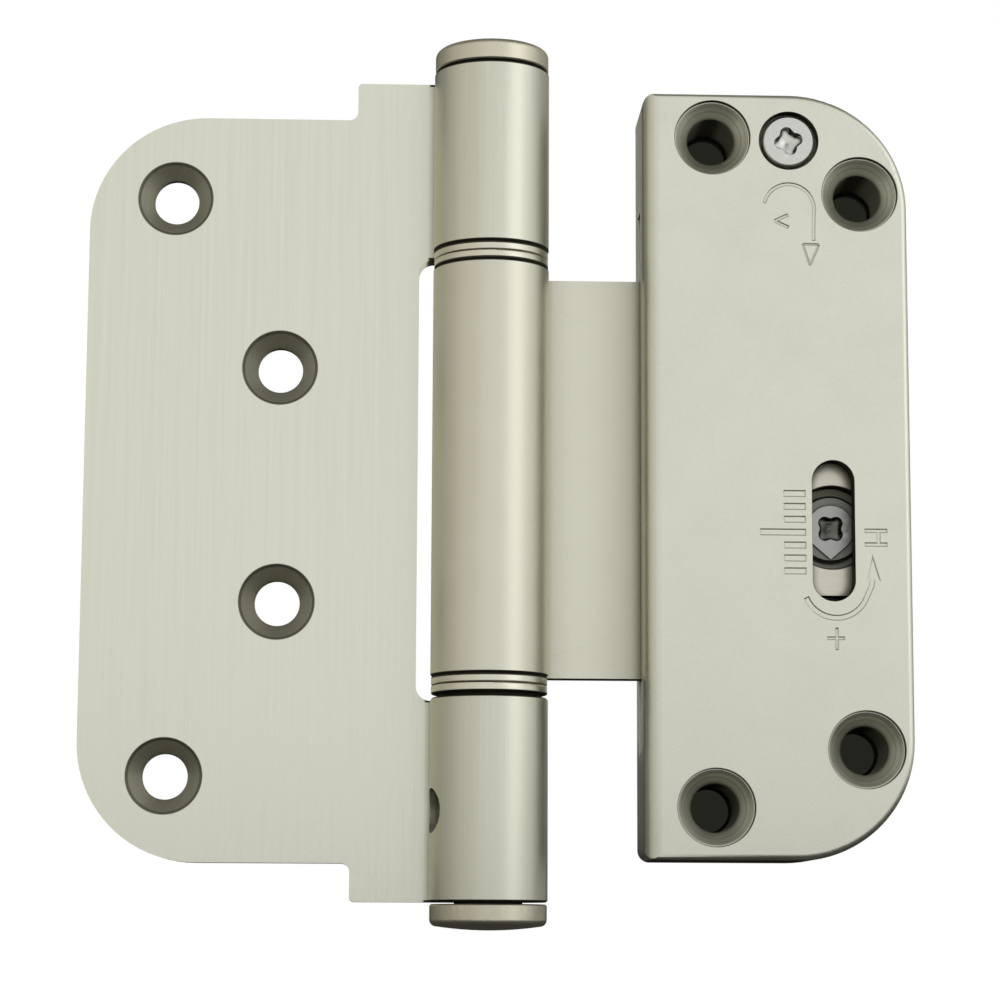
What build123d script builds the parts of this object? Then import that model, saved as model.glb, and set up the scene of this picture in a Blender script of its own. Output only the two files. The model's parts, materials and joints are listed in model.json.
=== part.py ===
from build123d import *
import math
import os

# Adjustable door hinge, open flat at 180 degrees and upright, as it hangs on a door frame.
# Lengths are millimetres, +Z is up along the hinge pin, +X runs towards the door, and the
# front, which faces the room when the door stands open, looks towards -Y.
# Places in this file are measured from the pin axis, halfway up the frame leaf. The finished
# pieces are moved so that the origin is on the back of the frame leaf, in the middle of its
# inner pair of screw holes, where the hinge is fixed.

# Leaves and barrel
GAUGE = 3.3
BARREL_R = 7.8
LEAF_HEIGHT = 101.6
LEAF_REACH = 54.7
LEAF_CORNER_R = 15.9
TAB_REACH = 18.3
TAB_CORNER_R = 0.6
TAB_INNER_R = 1.2
WINDOW_X = -9.7
WINDOW_CORNER_R = 2.0
ROLL_SEAM = 0.15
KNUCKLE_EDGE = 0.25
DOOR_PLATE_INSET = 0.3

# Levels along the pin
BARREL_TOP = 56.0
UPPER_JOINT_Z = 30.0
UPPER_KNUCKLE_Z = 31.2
MIDDLE_TOP_Z = 28.8
MIDDLE_BOTTOM_Z = -26.35
LOWER_JOINT_Z = -27.55
LOWER_KNUCKLE_Z = -29.2
BARREL_BOTTOM = -55.9

# Pin, bushings and caps
PIN_R = 3.175
PIN_EDGE = 0.5
BUSH_LENGTH = 9.0
FLANGE_R = 7.7
FLANGE_EDGE = 0.2
SHOULDER_R = 6.7
SHOULDER_HEIGHT = 0.5
RUN_CLEAR = 0.04
FACE_CLEAR = 0.025
CAP_GAP = 0.25
CAP_HEIGHT = 3.4
CAP_DOME = 0.5
CAP_EDGE = 0.9
CAP_PLUG_LENGTH = 5.0
SET_SCREW_Z = -44.05
SET_SCREW_TURN = 12.0
SET_HOLE_R = 2.95
SET_SCREW_SINK = 1.6
SET_SCREW_HEX = 2.5
SET_SCREW_HEX_DEPTH = 2.0

# Screw holes of the frame leaf
LEAF_HOLE_R = 3.05
LEAF_SINK_R = 5.1
SINK_ANGLE = 82.0
LEAF_OUTER_X = -43.1
LEAF_OUTER_Z = 39.4
LEAF_INNER_X = -28.5
LEAF_INNER_Z = 16.0

# Casing
CASING_LEFT = 20.55
CASING_WIDTH = 35.9
CASING_BOTTOM = -50.35
CASING_HEIGHT = 103.95
CASING_FRONT_Y = -1.5
CASING_DEPTH = 13.0
CASING_CORNER_R = 15.9
CASING_SMALL_R = 1.6
SMALLEST_CORNER_R = 0.3
CASING_EDGE = 0.9
CASING_LEFT_EDGE = 2.4
FRONT_WALL = 2.7
SIDE_WALL = 2.25
RIB = 1.25
BACK_PLATE = 1.2
BACK_INSET = 1.3
BACK_CLEAR = 0.05

# Screw holes of the casing, with a short counterbore over the countersink
CASE_BORE_R = 3.25
CASE_SINK_R = 5.15
CASE_SINK_TOP_R = 4.95
CASE_SINK_DROP = 0.7
BACK_BORE_R = 2.9
CASE_HOLE_MID_Z = 2.0
CASE_INNER_X = 30.0
CASE_INNER_SPAN = 90.8
CASE_OUTER_X = 50.0
CASE_OUTER_SPAN = 75.4
BACK_SCREWS = [(24.4, 41.6), (48.6, 46.0), (24.4, -41.0), (48.6, -42.6)]

# Openings of the casing
SLOT_X = 45.9
SLOT_Z = -6.5
SLOT_WIDTH = 5.7
SLOT_LENGTH = 19.0
WALL_SLOT_TOP = 38.2
WALL_SLOT_BOTTOM = -36.2
WALL_SLOT_CLEAR = 0.4
CAVITY_TOP_LEFT = 39.6
CAVITY_TOP_RIGHT = 34.2
CAVITY_TOP_STEP_X = 33.6
CAVITY_BOTTOM_LEFT = -37.0
CAVITY_BOTTOM_RIGHT = -29.2
CAVITY_BOTTOM_STEP_X = 37.4
CAVITY_CORNER_R = 1.5

# Travels of the two adjustments
H_TRAVEL = 2.5
V_TRAVEL = 5.0
SLIDE_CLEAR = 0.3

# Carriage, with its two plates on both sides of the door leaf
SLIDE_PLATE = 2.5
KEEPER_PLATE = 1.2
GUIDE_CLEAR = 0.15
CARRIAGE_TOP = 24.0
CARRIAGE_BOTTOM = -21.0
SLIDE_STEP_X = 38.5
SLIDE_STEP_Z = -14.9
PLATE_CORNER_R = 1.5
NOTCH_CORNER_R = 1.0
RIVET_R = 1.8
RIVET_NECK_R = 1.2
RIVET_HEAD_R = 2.1
RIVET_HEAD = 0.5
RIVET_SINK = 0.8
RIVETS = [(28.2, 18.0), (28.2, -18.0), (36.2, 0.9)]
RIVET_FIT = 0.05

# Horizontal adjuster
CAM_X = 46.15
CAM_Z = -5.65
CAM_HALF = 3.9
CAM_SWING = 60.0
CAM_CURVE_STEPS = 20
CAM_FIT = 0.08
CAM_HEAD_R = 4.55
CAM_HEAD_SINK = 1.6
CAM_HEAD_EDGE = 0.3
POINTER_R = 3.15
POINTER_REACH = 4.15
POINTER_RISE = 0.25
SLIDE_HOLE_R = 5.6
JOURNAL_R = 2.5
CLIP_GROOVE_R = 2.0
CLIP_R = 3.7
CLIP_THICK = 0.4
CLIP_MOUTH = 2.6
CLIP_GAP = 0.05
WASHER_THICK = 0.175
JOURNAL_TAIL = 0.25
CAM_FACE_CLEAR = 0.15
WASHER_R = 3.6
TONGUE_RIM = 1.2
TONGUE_TOP = 4.8
TONGUE_CORNER_R = 1.0

# Vertical adjuster
V_X = 40.4
V_Z = 47.06
V_POCKET_R = 4.1
V_POCKET_DEPTH = 1.9
V_HEAD_R = 3.5
V_HEAD_SINK = 0.2
V_HEAD_CLEAR = 0.1
V_SHAFT_R = 1.6
GEAR_SEAT_R = 1.0
V_BOSS_R = 3.0
V_BOSS_REACH = 1.2
V_RECESS_TURN = 58.0
RECESS_SIDE = 2.4
RECESS_LOBE_R = 0.5
RECESS_LOBE_REACH = 1.05
RECESS_DEPTH = 1.2
RECESS_TIP = 0.4
GEAR_TEETH = 12
GEAR_MODULE = 0.5
GEAR_PRESSURE_ANGLE = 20.0
GEAR_ROOT = 1.2
GEAR_SPACE_TOP = 1.3
FLANK_STEPS = 4
GEAR_FACE = 1.5
GEAR_BACKLASH = 0.07
GEAR_HUB_R = 2.3
LEAD_SCREW_R = 2.5
LEAD_JOURNAL_R = 1.8
LEAD_SCREW_END = 10.3
LEAD_SCREW_EDGE = 0.6
CHANNEL_HALF = 3.9
CHANNEL_TOP = 51.4
BEARING_HALF = 4.5
SCREW_PASS = 0.3
BEARING_BOTTOM = 36.8
BEARING_HEIGHT = 3.4
NUT_HALF = 3.4
NUT_FLANGE = 0.5
NUT_BOTTOM = 13.0
NUT_HEIGHT = 8.0
NUT_FRONT_SINK = 0.3
NUT_BACK_PROUD = 0.5

# Small screws of the back plate
SMALL_SCREW_R = 1.25
SMALL_HEAD_R = 2.3
SMALL_SCREW_LENGTH = 6.0
SMALL_SLOT_WIDTH = 0.6
SMALL_SLOT_DEPTH = 0.5

# How far a cutter reaches past the surface that it cuts, and how far one that cuts all away
PAST = 1.0
FAR = 200.0

# Values that follow from the ones above
LEAF_FRONT_Y = BARREL_R - GAUGE
LEAF_BACK_Y = BARREL_R
BORE_R = BARREL_R - GAUGE
LEAF_MID_Y = LEAF_BACK_Y - GAUGE / 2
CASING_RIGHT = CASING_LEFT + CASING_WIDTH
CASING_TOP = CASING_BOTTOM + CASING_HEIGHT
CASING_BACK_Y = CASING_FRONT_Y + CASING_DEPTH
INNER_FRONT_Y = CASING_FRONT_Y + FRONT_WALL
INNER_BACK_Y = CASING_BACK_Y - BACK_PLATE
CAVITY_LEFT = CASING_LEFT + SIDE_WALL
CAVITY_RIGHT = CASING_RIGHT - SIDE_WALL
SLIDE_BACK_Y = LEAF_FRONT_Y - SLIDE_CLEAR
SLIDE_FRONT_Y = SLIDE_BACK_Y - SLIDE_PLATE
KEEPER_FRONT_Y = LEAF_BACK_Y + SLIDE_CLEAR
KEEPER_BACK_Y = KEEPER_FRONT_Y + KEEPER_PLATE
CARRIAGE_LEFT = CAVITY_LEFT + RIB + GUIDE_CLEAR
CARRIAGE_RIGHT = CAVITY_RIGHT - RIB - GUIDE_CLEAR
BEARING_TOP = BEARING_BOTTOM + BEARING_HEIGHT
PITCH_R = GEAR_TEETH * GEAR_MODULE / 2


def box(x0, x1, y0, y1, z0, z1):
    """A plain block between two corners."""
    return Pos((x0 + x1) / 2, (y0 + y1) / 2, (z0 + z1) / 2) * Box(x1 - x0, y1 - y0, z1 - z0)


def upright(radius, z0, z1, x=0.0, y=0.0):
    """A cylinder along Z between two levels."""
    return Pos(x, y, (z0 + z1) / 2) * Cylinder(radius, z1 - z0)


def crosswise(radius, y0, y1, x, z):
    """A cylinder along Y between two depths."""
    return Pos(x, (y0 + y1) / 2, z) * Rot(90, 0, 0) * Cylinder(radius, y1 - y0)


def cone_crosswise(r0, r1, y0, y1, x, z):
    """A cone along Y, with radius r0 at depth y0 and r1 at y1."""
    return Pos(x, (y0 + y1) / 2, z) * Rot(-90, 0, 0) * Cone(r0, r1, y1 - y0)


def plate(face, y0, y1):
    """A face drawn in X and Z, made solid between two depths."""
    turned = Pos(0, y1, 0) * Rot(90, 0, 0) * face
    return extrude(turned, y1 - y0, dir=(0, -1, 0))


def face_of(points):
    """A flat face on a run of corners."""
    return make_face(Polyline(*points, close=True))


def rounded_face(points, radii):
    """A flat face whose corners have the given radii; a radius of 0 leaves the corner sharp."""
    face = face_of(points)
    for (x, y), radius in zip(points, radii):
        if radius > 0:
            corner = face.vertices().sort_by_distance((x, y, 0))[0]
            face = fillet(corner, radius)
    return face


def sink_depth(outer, inner):
    """Depth of a countersink of the named angle between two radii."""
    return (outer - inner) / math.tan(math.radians(SINK_ANGLE / 2))


def roll(side, z0, z1):
    """The rolled part of a knuckle, which ends at a seam against the front of its own leaf."""
    ring = upright(BARREL_R, z0, z1)
    ring = chamfer(ring.edges().filter_by(GeomType.CIRCLE), KNUCKLE_EDGE)
    seam_y = LEAF_FRONT_Y - ROLL_SEAM
    seam = box(min(0, side * FAR), max(0, side * FAR), seam_y, FAR, z0 - PAST, z1 + PAST)
    return ring - seam


def knuckle_bore(z0, z1):
    """The hole that the roll leaves for the bushings and the pin."""
    return upright(BORE_R, z0 - PAST, z1 + PAST)


def leaf_holes():
    """Centres of the frame leaf's four screw holes."""
    outer = [(LEAF_OUTER_X, LEAF_OUTER_Z), (LEAF_OUTER_X, -LEAF_OUTER_Z)]
    inner = [(LEAF_INNER_X, LEAF_INNER_Z), (LEAF_INNER_X, -LEAF_INNER_Z)]
    return outer + inner


def flank_bar(radius, reach0, reach1):
    """A bar that points from the pin axis out through the flank of the lower knuckle."""
    bar = Pos((reach0 + reach1) / 2, 0, 0) * Rot(0, 90, 0) * Cylinder(radius, reach1 - reach0)
    return Pos(0, 0, SET_SCREW_Z) * Rot(0, 0, 180 + SET_SCREW_TURN) * bar


def frame_leaf():
    """The leaf on the frame, with its upper and lower knuckles in one rolled piece."""
    half = LEAF_HEIGHT / 2
    outline = [
        (-LEAF_REACH, -half), (-TAB_REACH, -half), (-TAB_REACH, BARREL_BOTTOM), (0, BARREL_BOTTOM),
        (0, LOWER_KNUCKLE_Z), (WINDOW_X, LOWER_KNUCKLE_Z), (WINDOW_X, UPPER_KNUCKLE_Z),
        (0, UPPER_KNUCKLE_Z), (0, BARREL_TOP), (-TAB_REACH, BARREL_TOP), (-TAB_REACH, half),
        (-LEAF_REACH, half),
    ]
    radii = [
        LEAF_CORNER_R, TAB_INNER_R, TAB_CORNER_R, 0, 0, WINDOW_CORNER_R,
        WINDOW_CORNER_R, 0, 0, TAB_CORNER_R, TAB_INNER_R, LEAF_CORNER_R,
    ]
    leaf = plate(rounded_face(outline, radii), LEAF_FRONT_Y, LEAF_BACK_Y)
    drop = sink_depth(LEAF_SINK_R, LEAF_HOLE_R)
    for x, z in leaf_holes():
        leaf -= crosswise(LEAF_HOLE_R, LEAF_FRONT_Y - PAST, LEAF_BACK_Y + PAST, x, z)
        leaf -= cone_crosswise(LEAF_SINK_R, LEAF_HOLE_R, LEAF_FRONT_Y, LEAF_FRONT_Y + drop, x, z)
    for z0, z1 in [(UPPER_KNUCKLE_Z, BARREL_TOP), (BARREL_BOTTOM, LOWER_KNUCKLE_Z)]:
        leaf += roll(-1, z0, z1)
        leaf -= knuckle_bore(z0, z1)
    return leaf - flank_bar(SET_HOLE_R, BORE_R - GAUGE / 2, BARREL_R + PAST)


def pin_set_screw():
    """Set screw that locks the pin, with a hexagon socket in its outer end."""
    outer = BARREL_R - SET_SCREW_SINK
    screw = flank_bar(SET_HOLE_R, PIN_R, outer)
    socket = extrude(RegularPolygon(SET_SCREW_HEX / 2, 6, major_radius=False), SET_SCREW_HEX_DEPTH)
    socket = Pos(outer - SET_SCREW_HEX_DEPTH, 0, 0) * Rot(0, 90, 0) * socket
    return screw - Pos(0, 0, SET_SCREW_Z) * Rot(0, 0, 180 + SET_SCREW_TURN) * socket


def hinge_pin():
    """The pin, between the plugs of the two caps."""
    pin = upright(PIN_R, BARREL_BOTTOM + CAP_PLUG_LENGTH, BARREL_TOP - CAP_PLUG_LENGTH)
    return chamfer(pin.edges().filter_by(GeomType.CIRCLE), PIN_EDGE)


def cap(end, way):
    """Domed cap on a barrel end, held by its plug; way is +1 at the top and -1 at the bottom."""
    wall = CAP_HEIGHT - CAP_DOME - CAP_EDGE
    flat = FLANGE_R - CAP_EDGE
    bend = CAP_EDGE * (1 - math.sqrt(0.5))
    side = Polyline((0, 0), (FLANGE_R - FLANGE_EDGE, 0), (FLANGE_R, FLANGE_EDGE), (FLANGE_R, wall))
    rim = ThreePointArc((FLANGE_R, wall), (FLANGE_R - bend, wall + CAP_EDGE - bend), (flat, wall + CAP_EDGE))
    dome_r = (flat * flat + CAP_DOME * CAP_DOME) / (2 * CAP_DOME)
    half = math.asin(flat / dome_r) / 2
    middle = (dome_r * math.sin(half), CAP_HEIGHT - dome_r * (1 - math.cos(half)))
    crown = ThreePointArc((flat, wall + CAP_EDGE), middle, (0, CAP_HEIGHT))
    profile = make_face([*side.edges(), rim, crown, Line((0, CAP_HEIGHT), (0, 0))])
    shape = revolve(Plane.XZ * profile, Axis.Z)
    plug = upright(BORE_R, -CAP_GAP - CAP_PLUG_LENGTH, 0)
    shape += plug
    turn = 0 if way > 0 else 180
    return Pos(0, 0, end + way * CAP_GAP) * Rot(turn, 0, 0) * shape


def bushing(face_z, seat_z, bore, shoulder=0.0):
    """Flanged bushing: its flange lies between face_z and the knuckle end at seat_z."""
    way = 1 if seat_z > face_z else -1
    flange_end = seat_z - way * shoulder
    flange = upright(FLANGE_R, min(face_z, flange_end), max(face_z, flange_end))
    flange = fillet(flange.edges().filter_by(GeomType.CIRCLE), FLANGE_EDGE)
    tail = seat_z + way * BUSH_LENGTH
    sleeve = upright(BORE_R, min(flange_end, tail), max(flange_end, tail))
    shape = flange + sleeve
    if shoulder > 0:
        shape += upright(SHOULDER_R, min(flange_end, seat_z), max(flange_end, seat_z))
    return shape - upright(bore, min(face_z, tail) - PAST, max(face_z, tail) + PAST)


def upper_frame_bushing():
    """Bushing of the upper knuckle, tight on the pin."""
    return bushing(UPPER_JOINT_Z + FACE_CLEAR, UPPER_KNUCKLE_Z, PIN_R)


def upper_door_bushing():
    """Upper bushing of the middle knuckle, which turns on the pin."""
    return bushing(UPPER_JOINT_Z - FACE_CLEAR, MIDDLE_TOP_Z, PIN_R + RUN_CLEAR)


def lower_door_bushing():
    """Lower bushing of the middle knuckle, which turns on the pin."""
    return bushing(LOWER_JOINT_Z + FACE_CLEAR, MIDDLE_BOTTOM_Z, PIN_R + RUN_CLEAR)


def lower_frame_bushing():
    """Bushing of the lower knuckle, tight on the pin, with a shoulder under its flange."""
    return bushing(LOWER_JOINT_Z - FACE_CLEAR, LOWER_KNUCKLE_Z, PIN_R, SHOULDER_HEIGHT)


def cam_support(angle):
    """Reach and slope of the cam in one direction, turned from straight up towards the door.

    Two flanks rise and fall evenly with the angle, so that the two sides of a window of
    constant width follow the turn at a constant ratio. Two easements join them."""
    rate = H_TRAVEL / math.radians(CAM_SWING)
    ease = math.radians(180 - 2 * CAM_SWING)
    turn = (angle - 90 + CAM_SWING) % 360
    if turn <= 2 * CAM_SWING:
        return CAM_HALF + rate * math.radians(turn - CAM_SWING), rate
    if turn < 180:
        s = math.radians(turn - 2 * CAM_SWING)
        return CAM_HALF + H_TRAVEL + rate * s - rate * s * s / ease, rate - 2 * rate * s / ease
    if turn <= 180 + 2 * CAM_SWING:
        return CAM_HALF - rate * math.radians(turn - 180 - CAM_SWING), -rate
    s = math.radians(turn - 180 - 2 * CAM_SWING)
    return CAM_HALF - H_TRAVEL - rate * s + rate * s * s / ease, 2 * rate * s / ease - rate


def cam_point(angle):
    """The point of the cam's outline whose outward normal has this angle."""
    reach, slope = cam_support(angle)
    sine = math.sin(math.radians(angle))
    cosine = math.cos(math.radians(angle))
    return CAM_X + reach * sine + slope * cosine, CAM_Z + reach * cosine - slope * sine


def cam_face():
    """The cam's outline in X and Z: two involute flanks and two easements."""
    starts = [90 - CAM_SWING, 90 + CAM_SWING, 270 - CAM_SWING, 270 + CAM_SWING, 450 - CAM_SWING]
    curves = []
    for start, end in zip(starts, starts[1:]):
        angles = [start + (end - start) * i / CAM_CURVE_STEPS for i in range(CAM_CURVE_STEPS + 1)]
        ends = [(math.cos(math.radians(a)), -math.sin(math.radians(a))) for a in (start, end)]
        curves.append(Spline(*[cam_point(a) for a in angles], tangents=ends))
    return make_face(curves)


def cam_reach(way):
    """Furthest that the cam reaches up (way 1) or down (way -1) over its whole swing."""
    base = 0 if way > 0 else 180
    step = 2 * CAM_SWING / CAM_CURVE_STEPS
    turns = [step * i - CAM_SWING for i in range(CAM_CURVE_STEPS + 1)]
    return max(cam_support(base + turn)[0] for turn in turns)


def drive_recess():
    """Square driver recess with a lobe at each corner, around Z and open towards +Z at level 0."""
    middle = -RECESS_DEPTH / 2
    recess = Pos(0, 0, middle) * Box(RECESS_SIDE, RECESS_SIDE, RECESS_DEPTH)
    for i in (-RECESS_LOBE_REACH, RECESS_LOBE_REACH):
        for j in (-RECESS_LOBE_REACH, RECESS_LOBE_REACH):
            recess += Pos(i, j, middle) * Cylinder(RECESS_LOBE_R, RECESS_DEPTH)
    tip = Cone(0, RECESS_SIDE / 2, RECESS_TIP)
    return recess + Pos(0, 0, -RECESS_DEPTH - RECESS_TIP / 2) * tip


def pointer_face():
    """The raised pointer on the cam's head: a round pad whose sides run to a tip below."""
    turn = math.acos(POINTER_R / POINTER_REACH)
    x = POINTER_R * math.sin(turn)
    y = -POINTER_R * math.cos(turn)
    return Circle(POINTER_R) + face_of([(-x, y), (0, -POINTER_REACH), (x, y)])


def h_adjust_cam():
    """Horizontal adjuster: head with a pointer and a recess, involute cam, and rear journal."""
    front = SLIDE_FRONT_Y + CAM_HEAD_SINK
    cam_front = SLIDE_BACK_Y + CAM_FACE_CLEAR
    cam_back = KEEPER_FRONT_Y - FACE_CLEAR - WASHER_THICK
    head = crosswise(CAM_HEAD_R, front, cam_front, CAM_X, CAM_Z)
    rim = head.edges().filter_by(GeomType.CIRCLE).sort_by(Axis.Y)[0]
    head = chamfer(rim, CAM_HEAD_EDGE)
    head += plate(Pos(CAM_X, CAM_Z) * pointer_face(), front - POINTER_RISE, front)
    cam = plate(cam_face(), cam_front, cam_back)
    clip_front = KEEPER_BACK_Y + CLIP_GAP
    clip_back = clip_front + CLIP_THICK
    journal = crosswise(JOURNAL_R, cam_back, clip_front, CAM_X, CAM_Z)
    neck = crosswise(CLIP_GROOVE_R, clip_front, clip_back, CAM_X, CAM_Z)
    tail = crosswise(JOURNAL_R, clip_back, clip_back + JOURNAL_TAIL, CAM_X, CAM_Z)
    recess = Pos(CAM_X, front - POINTER_RISE, CAM_Z) * Rot(90, 0, 0) * drive_recess()
    return head + cam + journal + neck + tail - recess


def cam_clip():
    """Retaining clip in the groove of the cam's journal, with its mouth downwards."""
    clip_front = KEEPER_BACK_Y + CLIP_GAP
    clip_back = clip_front + CLIP_THICK
    ring = crosswise(CLIP_R, clip_front, clip_back, CAM_X, CAM_Z)
    ring -= crosswise(CLIP_GROOVE_R, clip_front - PAST, clip_back + PAST, CAM_X, CAM_Z)
    half = CLIP_MOUTH / 2
    return ring - box(
        CAM_X - half, CAM_X + half, clip_front - PAST, clip_back + PAST, CAM_Z - CLIP_R - PAST, CAM_Z,
    )


def cam_washer():
    """Thin spring washer between the cam and the keeper plate."""
    back = KEEPER_FRONT_Y - FACE_CLEAR
    front = back - WASHER_THICK
    washer = crosswise(WASHER_R, front, back, CAM_X, CAM_Z)
    return washer - crosswise(JOURNAL_R, front - PAST, back + PAST, CAM_X, CAM_Z)


def door_leaf():
    """The middle knuckle and its plate, with the cam's window and the rivets' slots."""
    top = MIDDLE_TOP_Z - DOOR_PLATE_INSET
    bottom = MIDDLE_BOTTOM_Z + DOOR_PLATE_INSET
    notch_x = V_X - NUT_HALF - NUT_FLANGE - H_TRAVEL - SLIDE_CLEAR
    window_left = CAM_X - CAM_HALF - CAM_FIT
    window_right = CAM_X + CAM_HALF + CAM_FIT
    window_top = CAM_Z + cam_reach(1) + SLIDE_CLEAR
    window_bottom = CAM_Z - cam_reach(-1) - SLIDE_CLEAR
    right = window_right + TONGUE_RIM
    tongue_bottom = window_bottom - TONGUE_RIM
    outline = [
        (0, bottom), (notch_x, bottom), (notch_x, tongue_bottom), (right, tongue_bottom),
        (right, TONGUE_TOP), (notch_x, TONGUE_TOP), (notch_x, top), (0, top),
    ]
    tongue = [TONGUE_CORNER_R, PLATE_CORNER_R, PLATE_CORNER_R, TONGUE_CORNER_R]
    radii = [0, PLATE_CORNER_R, *tongue, PLATE_CORNER_R, 0]
    leaf = plate(rounded_face(outline, radii), LEAF_FRONT_Y, LEAF_BACK_Y)
    leaf -= box(
        window_left, window_right, LEAF_FRONT_Y - PAST, LEAF_BACK_Y + PAST, window_bottom, window_top,
    )
    slot_width = 2 * (RIVET_R + RIVET_FIT)
    for x, z in RIVETS:
        slot = Pos(x, z) * SlotOverall(slot_width + 2 * H_TRAVEL, slot_width)
        leaf -= plate(slot, LEAF_FRONT_Y - PAST, LEAF_BACK_Y + PAST)
    leaf += roll(1, MIDDLE_BOTTOM_Z, MIDDLE_TOP_Z)
    return leaf - knuckle_bore(MIDDLE_BOTTOM_Z, MIDDLE_TOP_Z)


def carriage_face(stepped):
    """Outline of the carriage plates in X and Z, notched at the top for the lead screw."""
    pass_half = LEAD_SCREW_R + SCREW_PASS
    notch_bottom = LEAD_SCREW_END - V_TRAVEL - SCREW_PASS
    outline = [(CARRIAGE_LEFT, CARRIAGE_BOTTOM)]
    radii = [PLATE_CORNER_R]
    if stepped:
        outline += [(SLIDE_STEP_X, CARRIAGE_BOTTOM), (SLIDE_STEP_X, SLIDE_STEP_Z)]
        outline += [(CARRIAGE_RIGHT, SLIDE_STEP_Z)]
        radii += [PLATE_CORNER_R, NOTCH_CORNER_R, PLATE_CORNER_R]
    else:
        outline += [(CARRIAGE_RIGHT, CARRIAGE_BOTTOM)]
        radii += [PLATE_CORNER_R]
    outline += [
        (CARRIAGE_RIGHT, CARRIAGE_TOP), (V_X + pass_half, CARRIAGE_TOP), (V_X + pass_half, notch_bottom),
        (V_X - pass_half, notch_bottom), (V_X - pass_half, CARRIAGE_TOP), (CARRIAGE_LEFT, CARRIAGE_TOP),
    ]
    radii += [PLATE_CORNER_R, 0, NOTCH_CORNER_R, NOTCH_CORNER_R, 0, PLATE_CORNER_R]
    return rounded_face(outline, radii)


def nut_seat(y0, y1):
    """The seat in a carriage plate that takes the lift nut."""
    return box(V_X - NUT_HALF, V_X + NUT_HALF, y0 - PAST, y1 + PAST, NUT_BOTTOM, NUT_BOTTOM + NUT_HEIGHT)


def slide_plate():
    """Front plate of the carriage, seen through the casing's slot, with the adjuster's hole."""
    shape = plate(carriage_face(True), SLIDE_FRONT_Y, SLIDE_BACK_Y)
    shape -= nut_seat(SLIDE_FRONT_Y, SLIDE_BACK_Y)
    shape -= crosswise(SLIDE_HOLE_R, SLIDE_FRONT_Y - PAST, SLIDE_BACK_Y + PAST, CAM_X, CAM_Z)
    for x, z in RIVETS:
        shape -= crosswise(RIVET_NECK_R, SLIDE_FRONT_Y - PAST, SLIDE_BACK_Y + PAST, x, z)
        shape -= crosswise(RIVET_HEAD_R, SLIDE_FRONT_Y - PAST, SLIDE_FRONT_Y + RIVET_SINK, x, z)
    return shape


def keeper_plate():
    """Rear plate of the carriage, with the bearing of the cam's journal."""
    shape = plate(carriage_face(False), KEEPER_FRONT_Y, KEEPER_BACK_Y)
    shape -= nut_seat(KEEPER_FRONT_Y, KEEPER_BACK_Y)
    shape -= crosswise(JOURNAL_R + RUN_CLEAR, KEEPER_FRONT_Y - PAST, KEEPER_BACK_Y + PAST, CAM_X, CAM_Z)
    for x, z in RIVETS:
        shape -= crosswise(RIVET_NECK_R, KEEPER_FRONT_Y - PAST, KEEPER_BACK_Y + PAST, x, z)
    return shape


def carriage_rivets():
    """Three shouldered rivets that hold the carriage plates apart and ride in the leaf's slots."""
    rivets = []
    for x, z in RIVETS:
        rivet = crosswise(RIVET_R, SLIDE_BACK_Y, KEEPER_FRONT_Y, x, z)
        rivet += crosswise(RIVET_NECK_R, SLIDE_FRONT_Y, KEEPER_BACK_Y, x, z)
        rivet += crosswise(RIVET_HEAD_R, SLIDE_FRONT_Y, SLIDE_FRONT_Y + RIVET_SINK, x, z)
        rivet += crosswise(RIVET_HEAD_R, KEEPER_BACK_Y, KEEPER_BACK_Y + RIVET_HEAD, x, z)
        rivets.append(rivet)
    return Compound(children=rivets)


def lift_nut():
    """Nut of the lead screw, seated in both carriage plates by its flanged middle."""
    top = NUT_BOTTOM + NUT_HEIGHT
    front = SLIDE_FRONT_Y + NUT_FRONT_SINK
    back = KEEPER_BACK_Y + NUT_BACK_PROUD
    flange = NUT_HALF + NUT_FLANGE
    nut = box(V_X - NUT_HALF, V_X + NUT_HALF, front, back, NUT_BOTTOM, top)
    nut += box(V_X - flange, V_X + flange, SLIDE_BACK_Y, KEEPER_FRONT_Y, NUT_BOTTOM, top)
    return nut - upright(LEAD_SCREW_R + RUN_CLEAR, NUT_BOTTOM - PAST, top + PAST, V_X, LEAF_MID_Y)


def gear_flank(radius):
    """Half angle of a tooth, in radians, at a radius on the back cone."""
    slant = math.sqrt(2)
    pitch_pressure = math.radians(GEAR_PRESSURE_ANGLE)
    base = PITCH_R * slant * math.cos(pitch_pressure)
    pressure = math.acos(min(1, base / (radius * slant)))
    inv_pitch = math.tan(pitch_pressure) - pitch_pressure
    inv_here = math.tan(pressure) - pressure
    virtual_teeth = GEAR_TEETH * slant
    return (math.pi / (2 * virtual_teeth) + inv_pitch - inv_here) * slant - GEAR_BACKLASH / (2 * PITCH_R)


def gear_space(level):
    """One tooth space of a mitre gear, in the plane at this distance from the cone's point."""
    slope = math.sqrt(0.5)
    root = PITCH_R - GEAR_ROOT * GEAR_MODULE * slope
    tip = PITCH_R + GEAR_SPACE_TOP * GEAR_MODULE * slope
    base = PITCH_R * math.cos(math.radians(GEAR_PRESSURE_ANGLE))
    radii = [root + (tip - root) * i / FLANK_STEPS for i in range(FLANK_STEPS + 1)]
    right = []
    for radius in radii:
        half = math.pi / GEAR_TEETH - gear_flank(max(radius, base))
        here = radius * level / (2 * PITCH_R - radius)
        right.append((here * math.sin(half), here * math.cos(half)))
    left = [(-x, y) for x, y in reversed(right)]
    return Pos(0, 0, level) * face_of(right + left)


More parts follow.
